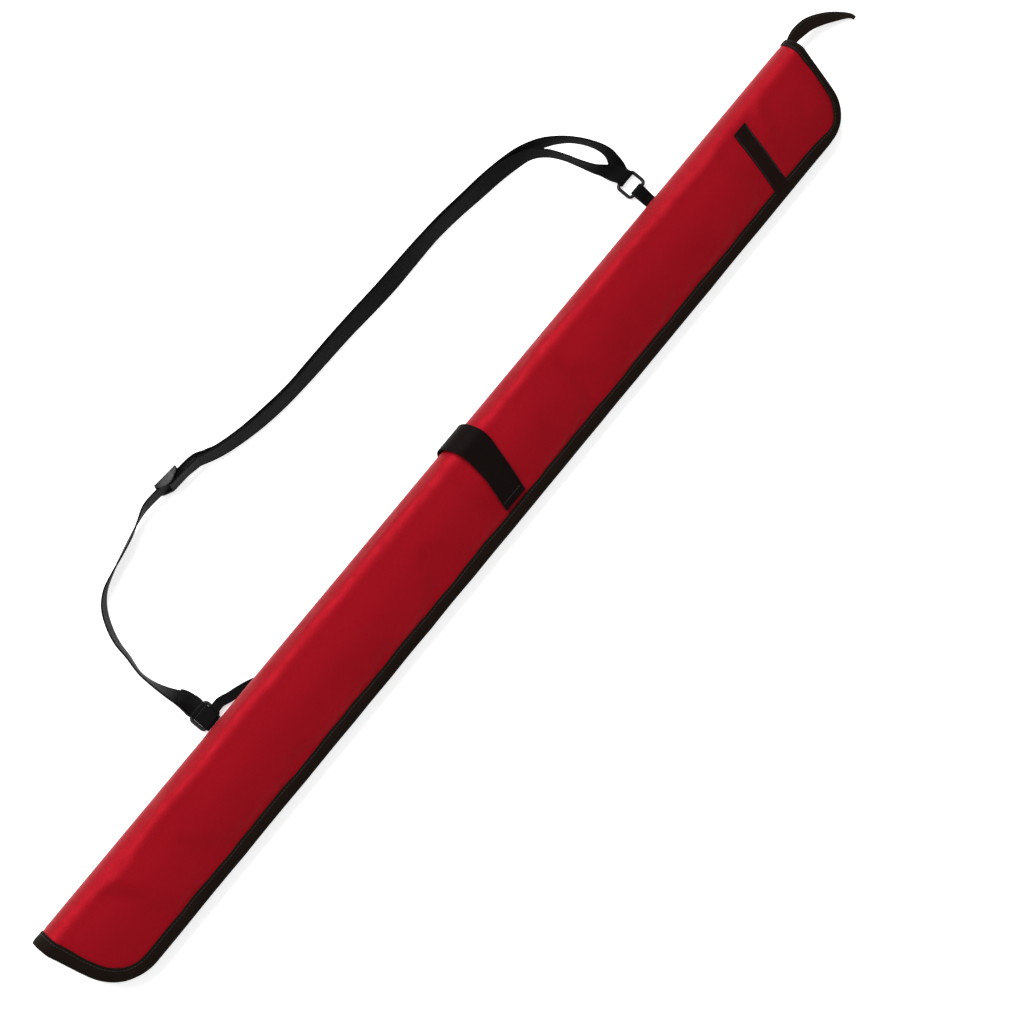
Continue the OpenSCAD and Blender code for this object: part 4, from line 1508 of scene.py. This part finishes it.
@dataclass
class ShoulderStrap:
    """Ribbed webbing from the lower ring past the adjuster to the upper ring and back."""

    low_ring: RingFitting
    high_ring: RingFitting
    width: float = 18 * MM
    thick: float = 1.4 * MM
    main_length: float = 0.70
    return_length: float = 0.43
    cut_y: float = 0.128
    gather: float = 0.075
    pinch: float = 0.4
    give: Tuple[Point, Point] = ((-0.126, 0.190, 0.010), (-0.070, 0.190, 0.010))
    main_route: Tuple[Tuple[float, float, float, float], ...] = (
        (-0.270, 0.071, 0.0016, 12), (-0.272, 0.080, 0.0008, 42), (-0.275, 0.092, 0.0002, 62),
        (-0.277, 0.105, 0.0002, 76), (-0.277, 0.119, 0.0002, 82), (-0.273, 0.134, 0.0002, 79),
        (-0.270, 0.148, 0.0002, 76), (-0.264, 0.162, 0.0002, 75), (-0.255, 0.175, 0.0002, 77),
        (-0.243, 0.184, 0.0002, 84), (-0.228, 0.189, 0.0002, 92), (-0.211, 0.193, 0.0006, 97),
        (-0.194, 0.197, 0.0020, 98), (-0.181, 0.2006, 0.0034, 90), (-0.166, 0.2034, 0.0044, 78),
        (-0.140, 0.2015, 0.0044, 76), (-0.114, 0.1995, 0.0044, 76), (-0.103, 0.194, 0.0032, 72),
        (-0.091, 0.188, 0.0016, 67), (-0.068, 0.182, 0.0004, 63), (-0.042, 0.178, 0.0002, 62),
        (-0.014, 0.175, 0.0002, 60), (0.014, 0.1745, 0.0002, 58), (0.042, 0.174, 0.0002, 55),
        (0.070, 0.173, 0.0002, 52), (0.098, 0.1715, 0.0002, 48), (0.126, 0.171, 0.0002, 48),
        (0.154, 0.171, 0.0002, 54), (0.182, 0.170, 0.0002, 58), (0.208, 0.167, 0.0002, 55),
        (0.232, 0.164, 0.0002, 50), (0.254, 0.160, 0.0002, 46), (0.272, 0.156, 0.0002, 48),
        (0.289, 0.149, 0.0002, 58), (0.302, 0.139, 0.0002, 68), (0.312, 0.127, 0.0002, 76),
        (0.319, 0.113, 0.0002, 74), (0.322, 0.100, 0.0002, 58), (0.320, 0.089, 0.0002, 25))
    return_route: Tuple[Tuple[float, float, float, float], ...] = (
        (-0.110, 0.194, 0.0048, 72), (-0.096, 0.188, 0.0032, 68), (-0.079, 0.183, 0.0018, 64),
        (-0.054, 0.1775, 0.0014, 62), (-0.028, 0.174, 0.0014, 61), (0.000, 0.1725, 0.0015, 59),
        (0.028, 0.172, 0.0015, 56), (0.056, 0.1715, 0.0016, 53), (0.084, 0.170, 0.0017, 50),
        (0.112, 0.169, 0.0017, 48), (0.140, 0.169, 0.0016, 51), (0.168, 0.1685, 0.0015, 56),
        (0.195, 0.166, 0.0015, 57), (0.220, 0.163, 0.0016, 52), (0.243, 0.160, 0.0017, 48),
        (0.262, 0.155, 0.0018, 50), (0.276, 0.149, 0.0019, 58), (0.286, 0.139, 0.0014, 68),
        (0.293, 0.126, 0.0008, 76), (0.298, 0.112, 0.0002, 74), (0.303, 0.099, 0.0004, 58),
        (0.309, 0.089, 0.0026, 25))

    def line(self, route: Sequence[Tuple[float, float, float, float]]) -> np.ndarray:
        """Middle of the webbing and its direction across, along a route.

        Args:
            route: x, y, height of the lower edge and lean in degrees of each point.

        Returns:
            Rows of place and direction across.
        """
        rows = resample(np.array(route), 2.2 * MM)
        lean = np.radians(rows[:, 3])
        place = rows[:, :3].copy()
        place[:, 2] += self.width / 2 * np.sin(lean) + self.thick / 2 * np.cos(lean)
        ahead = tangents(place)
        flat = unit(np.column_stack([-ahead[:, 1], ahead[:, 0], 0 * lean]))
        across = flat * np.cos(lean)[:, None] + np.array([0, 0, 1.0]) * np.sin(lean)[:, None]
        return np.column_stack([place, across])

    def run(self, name: str, rows: np.ndarray, start: float, widths: object = 1.0) -> bpy.types.Object:
        """One stretch of the webbing.

        Args:
            name: Name of the piece.
            rows: Place and direction across of each ring.
            start: Cloth coordinate of its first ring.
            widths: Share of the full width.

        Returns:
            The new object.
        """
        section = flat_section(self.width / 2, self.thick / 2, 0.15 * MM)
        rings, lay = ribbon(rows[:, :3], rows[:, 3:], section, widths, start)
        return tube_piece(rings, lay, name, Finish.WEBBING, "strap_webbing")

    def turn_at(self, middle: Point, radius: float, angles: Sequence[float],
                across: Point) -> List[np.ndarray]:
        """Rows round a ring's bar, at angles from +Y towards +Z."""
        x, y, z = middle
        return [np.array([x, y + radius * math.cos(t), z + radius * math.sin(t), *across])
                for t in np.radians(angles)]

    def gathered(self, path: np.ndarray) -> np.ndarray:
        """Share of the width along a run, drawn in towards the upper ring."""
        along = arc_lengths(path)
        return 1 - self.pinch * smoothstep(0.0, self.gather, along - along[-1] + self.gather)

    def low_loop(self, main: np.ndarray, radius: float) -> None:
        """Makes the loop round the lower ring and the two bartacks that close it.

        Args:
            main: Rows of the main run, whose first ones the loop's top layer follows.
            radius: From the middle of the ring's bar to the middle of the webbing.
        """
        x = main[0, 0]
        bar = self.low_ring.centre[1] - self.low_ring.size[1] / 2
        left = (-1.0, 0.0, 0.0)
        angles = (-90, -120, -150, -180, -210, -240, -270)
        loop = [main[0]]
        under = ((0.0665, 0.0028), (0.0610, 0.0011), (0.0540, 0.00095))
        loop += [np.array([x, y, z, *left]) for y, z in under]
        loop += self.turn_at((x, bar, self.low_ring.height), radius, angles, left)
        loop += [np.array([x, y, z, *left]) for y, z in ((0.0545, 0.0060), (0.0625, 0.0063))]
        for row in main[2:6:3]:
            over = unit(np.cross(row[3:], tangents(main[:, :3])[2])) * self.thick * 1.15
            loop.append(np.concatenate([row[:3] + over * np.sign(over[2]), row[3:]]))
        loop = resample(np.array(loop), 1.0 * MM)
        gone = arc_lengths(loop[:, :3])
        inside = smoothstep(0.004, 0.012, gone) * (1 - smoothstep(gone[-1] - 0.018, gone[-1] - 0.006, gone))
        piece = self.run("strap_low_loop", loop, -0.05, 1 - 0.12 * inside)
        mount(piece, "ring_low", "lower_strap_loop")
        count = 30
        across = np.linspace(-7.2 * MM, 7.2 * MM, count)
        for number, y in enumerate((0.0595, 0.0635)):
            line = np.column_stack([x + across, np.full(count, y), np.full(count, 0.0064 + 0.75 * MM)])
            up = np.tile([0, 0, 1.0], (count, 1))
            row = stitches(f"strap_low_bartack_{number + 1}", line, up, 2.2 * MM, slot="strap_webbing")
            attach(row, "ring_low")

    def high_turn(self, ending: np.ndarray, leaving: np.ndarray,
                  radius: float) -> Tuple[bpy.types.Object, np.ndarray]:
        """Makes the webbing's turn round the upper ring.

        Args:
            ending: Rows of the main run from where the turn takes over.
            leaving: Rows of the return run from where the turn takes over.
            radius: From the middle of the ring's bar to the middle of the webbing.

        Returns:
            The new object and its rows.
        """
        x, height = self.high_ring.centre[0], self.high_ring.height
        bar = self.high_ring.centre[1] + self.high_ring.size[1] / 2
        right = (1.0, 0.0, 0.0)
        angles = (-80, -120, -150, -180, -210, -240, -280)
        turn = [np.array([x + 3.2 * MM, bar + 8 * MM, 0.0014, *right])]
        turn += self.turn_at((x + 1.2 * MM, bar, height), radius, angles, right)
        turn += [np.array([x - 1.8 * MM, bar + 8 * MM, 0.0066, *right])]
        beyond = bar + 13 * MM
        arriving = [ending[0]] + [r for r in ending[::3][1:] if r[1] > beyond]
        going = [r for r in leaving[::3][::-1][:-1] if r[1] > beyond] + [leaving[0]]
        whole = resample(np.array(arriving + turn + going), 1.2 * MM)
        reach = whole[:, 1] - bar
        narrow = 1 - self.pinch + 0.24 * (1 - smoothstep(8 * MM, 22 * MM, reach))
        upper = self.run("strap_high_turn", whole, 0.72, narrow)
        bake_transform(upper)
        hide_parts("upper_strap_turn")
        return upper, whole

    def build(self) -> np.ndarray:
        """Returns:
            First rows of the run that goes on from the sewn end.
        """
        main, back = self.line(self.main_route), self.line(self.return_route)
        main_cut, back_cut = (max(i for i in range(len(rows)) if rows[i, 0] < 0.2 or rows[i, 1] > self.cut_y)
                              for rows in (main, back))
        radius = self.low_ring.bar + 0.15 * MM + self.thick / 2
        self.low_loop(main, radius)
        upper, whole = self.high_turn(main[main_cut:], back[back_cut:], radius)
        outward, homeward = main[: main_cut + 1], back[: back_cut + 1]
        run = self.run("strap_main_run", outward, 0.0, self.gathered(outward[:, :3]))
        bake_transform(run)
        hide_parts("strap_main")
        run = self.run("strap_return_run", homeward, 0.2, self.gathered(homeward[:, :3]))
        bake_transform(run)
        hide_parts("strap_return")
        lengths = [arc_lengths(rows[:, :3])[-1] for rows in (outward, homeward, whole)]
        LOG.info("strap runs: %.3f and %.3f m, turn %.3f m", *lengths)
        return back[:3]


@dataclass
class Adjuster:
    """Three-bar slide that the strap is threaded through, with the strap's sewn end on its bar."""

    middle: Tuple[float, float] = (-0.140, 0.2015)
    base: float = 4.4 * MM
    yaw: float = math.radians(-4.3)
    lean: float = math.radians(76)
    strap: Tuple[float, float] = (18 * MM, 1.4 * MM)
    size: float = 25 * MM
    rail: float = 2.6 * MM
    back_z: float = -2.3 * MM
    bar_z: float = 3.0 * MM
    bar_radius: float = 1.05 * MM

    def to_world(self, points: np.ndarray) -> np.ndarray:
        """Moves points from the adjuster's own axes to their place."""
        width, thick = self.strap
        z = self.base + width / 2 * math.sin(self.lean) + thick / 2 * math.cos(self.lean)
        turn = Matrix.Rotation(self.yaw, 3, "Z") @ Matrix.Rotation(self.lean, 3, "X")
        return points @ np.array(turn).T + np.array([*self.middle, z])

    def to_local(self, points: np.ndarray) -> np.ndarray:
        """Moves points from their place to the adjuster's own axes."""
        shift = self.to_world(np.zeros((1, 3)))
        turn = self.to_world(np.eye(3)) - shift
        return (points - shift) @ turn.T

    def moulding(self) -> None:
        """Makes the slide: frame, middle bar and the two cheeks that hold it."""
        shape = Shape()
        half, corner = self.size / 2 - self.rail / 2, 3.2 * MM
        path, out = rounded_frame(half - corner, half - corner, corner, 7)
        turn = np.radians(np.arange(12) * 30 + 15)
        wide, tall = (np.sign(part) * np.abs(part) ** 0.6 for part in (np.cos(turn), np.sin(turn)))
        rings = np.zeros((len(path), len(turn), 3))
        rings[..., :2] = path[:, None] + out[:, None] * (wide * self.rail / 2)[None, :, None]
        rings[..., 2] = self.back_z + tall * 1.05 * MM
        shape.tube(self.to_world(rings), np.zeros_like(rings), closed=True)
        bar = ((-half, 0.9), (-half + MM, 1.0), (0.0, 0.94), (half - MM, 1.0), (half, 0.9))
        r = self.bar_radius
        rings = np.array([[(r * k * math.cos(t), y, self.bar_z + r * k * math.sin(t)) for t in turns(14)]
                          for y, k in bar])
        shape.tube(self.to_world(rings), np.zeros_like(rings))
        post = [(-12.3, -3.2), (-12.4, -1.6), (-9.5, 0.9), (-3.2, 3.5), (-1.6, 4.0)]
        post = np.array(post + [(-a, b) for a, b in reversed(post)]) * MM
        layers = ((-1.3 * MM, 0.95), (-1.0 * MM, 1.0), (1.0 * MM, 1.0), (1.3 * MM, 0.95))
        for side in (-1, 1):
            rings = np.array([[(a * k, side * half + off, 0.4 * MM + (b - 0.4 * MM) * k) for a, b in post]
                              for off, k in layers])
            shape.tube(self.to_world(rings), np.zeros_like(rings))
        piece = shape.build("adjuster_slide_moulding", Finish.PLASTIC, "plastic", 40)
        mount(piece, "strap_adjuster", "adjuster")

    def sewn_end(self, onward: np.ndarray) -> None:
        """Makes the strap's end, doubled round the middle bar and sewn down.

        Args:
            onward: First rows of the run that goes on from it.
        """
        radius = 1.0 * MM + 0.15 * MM + 0.55 * MM
        arc = [(-radius * math.cos(t), self.bar_z + radius * math.sin(t))
               for t in np.radians((-60, -30, 0, 30, 60))]
        course = ([(15 * MM, 3.0 * MM), (9 * MM, 2.2 * MM), (2 * MM, 1.35 * MM)] + arc
                  + [(1 * MM, 4.75 * MM), (9 * MM, 4.6 * MM), (18 * MM, 4.6 * MM)])
        upright, up = (self.to_world(np.array([axis])) - self.to_world(np.zeros((1, 3)))
                       for axis in ((0, 1.0, 0), (0, 0, 1.0)))
        facing = upright[0] * np.sign(upright[0] @ onward[0, 3:])
        rows = [np.array([x, 0.0, z, *facing]) for x, z in course]
        rows += [np.concatenate([self.to_local(row[None, :3])[0], row[3:]]) for row in onward[:2]]
        local = resample(np.array(rows), 0.9 * MM)
        share = 0.94 + 0.06 * smoothstep(14 * MM, 26 * MM, local[:, 0])
        section = flat_section(self.strap[0] / 2, 0.6 * MM)
        rings, lay = ribbon(self.to_world(local[:, :3]), unit(local[:, 3:]), section, share)
        piece = tube_piece(rings, lay, "strap_sewn_loop", Finish.WEBBING, "strap_webbing")
        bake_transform(piece)
        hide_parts("strap_sewn_end")
        count = 30
        y = np.linspace(-7.4 * MM, 7.4 * MM, count)
        above = np.full(count, 4.6 * MM + 0.75 * MM)
        for number, x in enumerate((6.0 * MM, 12.5 * MM)):
            line = self.to_world(np.column_stack([np.full(count, x), y, above]))
            row = stitches(f"strap_sewn_bartack_{number + 1}", line, np.broadcast_to(up, (count, 3)),
                           2.2 * MM, slot="strap_webbing")
            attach(row, "strap_adjuster")

    def build(self, onward: np.ndarray) -> None:
        """Makes the slide, then the sewn end that leads into the rows of onward."""
        self.moulding()
        self.sewn_end(onward)


# ---------------------------------------------------------------- studio


@dataclass
class Studio:
    """Pale floor, soft lights and the camera."""

    aim: Point = (0.0270, -0.0340, 0.0)
    distance: float = 2.4
    tilt: float = math.radians(10)
    roll: float = math.radians(50.5)
    lens: float = 99.65
    floor_size: float = 14.0
    wall_height: float = 3.0
    sky: float = 0.30
    lamps: Tuple[Tuple[str, Point, Tuple[float, float], float, float], ...] = (
        ("key_panel", (0.1, 1.65, 2.3), (2.6, 1.2), 118.0, 1.0),
        ("top_panel", (0.0, 0.2, 3.0), (2.6, 2.0), 4.0, 0.0),
        ("low_fill", (-0.4, -2.2, 1.8), (2.4, 1.2), 10.0, 0.0))

    def camera(self) -> None:
        """Camera almost straight above, tilted towards the bottom end."""
        back = Vector((-math.sin(self.tilt), 0, math.cos(self.tilt)))
        along = Vector((math.cos(self.tilt), 0, math.sin(self.tilt)))
        over = Vector((0, 1, 0))
        right = math.cos(self.roll) * along - math.sin(self.roll) * over
        up = math.sin(self.roll) * along + math.cos(self.roll) * over
        data = bpy.data.cameras.new("camera")
        data.lens, data.sensor_width = self.lens, 36.0
        data.clip_start, data.clip_end = 0.01, 50.0
        camera = bpy.data.objects.new("camera", data)
        bpy.context.scene.collection.objects.link(camera)
        turn = Matrix((right, up, back)).transposed().to_4x4()
        camera.matrix_world = Matrix.Translation(Vector(self.aim) + back * self.distance) @ turn
        bpy.context.scene.camera = camera

    def lamp(self, name: str, place: Point, size: Tuple[float, float], power: float, glint: float) -> None:
        """Soft panel light that faces the case.

        Args:
            name: Name of the light.
            place: Where it stands.
            size: Its two sides.
            power: Watts.
            glint: Share of its light that shows as highlights.
        """
        data = bpy.data.lights.new(name, "AREA")
        data.shape, data.size, data.size_y, data.energy = "RECTANGLE", size[0], size[1], power
        data.specular_factor = glint
        lamp = bpy.data.objects.new(name, data)
        bpy.context.scene.collection.objects.link(lamp)
        lamp.matrix_world = (Matrix.Translation(Vector(place))
                             @ Vector(place).to_track_quat("Z", "Y").to_matrix().to_4x4())

    def build(self) -> None:
        """Makes the floor with its walls, the lights and the camera."""
        self.camera()
        half, low = self.floor_size, -0.6 * MM
        mesh = bpy.data.meshes.new("studio_floor")
        square = ((-1, -1), (1, -1), (1, 1), (-1, 1))
        corners = [(x * half, y * half, z) for z in (low, self.wall_height) for x, y in square]
        walls = [(k, k + 4, (k + 1) % 4 + 4, (k + 1) % 4) for k in range(4)]
        mesh.from_pydata(corners, [], [(0, 1, 2, 3), *walls])
        mesh.materials.append(StudioFloor().make())
        floor = bpy.data.objects.new("studio_floor", mesh)
        bpy.context.scene.collection.objects.link(floor)
        for lamp in self.lamps:
            self.lamp(*lamp)
        world = bpy.data.worlds.new("studio")
        world.use_nodes = True
        shade = world.node_tree.nodes["Background"]
        shade.inputs[0].default_value, shade.inputs[1].default_value = (1.0, 1.0, 1.0, 1.0), self.sky
        bpy.context.scene.world = world
        bpy.context.scene.view_settings.view_transform = "Standard"


def main() -> None:
    """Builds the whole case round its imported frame."""
    logging.basicConfig(level=logging.INFO, format="%(name)s %(message)s", stream=sys.stdout)
    Studio().build()
    low_ring = RingFitting(Side.LOW, (-0.270, 0.0548))
    high_ring = RingFitting(Side.HIGH, (0.314, 0.0665))
    onward = ShoulderStrap(low_ring, high_ring).build()
    Adjuster().build(onward)
    for fitting in (low_ring, high_ring):
        fitting.ring()
        fitting.tab()
    hinge = next(j for j in frame["joints"] if j["name"] == "front_open")["pos_m"]
    spine_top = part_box("fold_outer")[1]
    radius = spine_top.z / 2
    slope = math.asin((spine_top.y - radius - hinge[1]) / radius)
    low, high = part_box("back_binding")
    front_width = (hinge[1] - low.y) / math.cos(slope)
    front = FrontPanel(
        Outline(-front_width, 0.0, radius * (math.pi + slope), high.x), "front",
        spine_y=spine_top.y - radius, radius=radius, slope=slope, hinge=(hinge[1], hinge[2]))
    back = BackPanel(Outline(low.y, hinge[1], high.y, high.x), "case")
    PaddedCase(front, back).build()
    ZipClosure(front, back).build()
    ClosureBand(front).build()
    WovenLabel(front).build()
    CornerTail().build()
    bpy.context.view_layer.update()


if __name__ == "__main__":
    main()
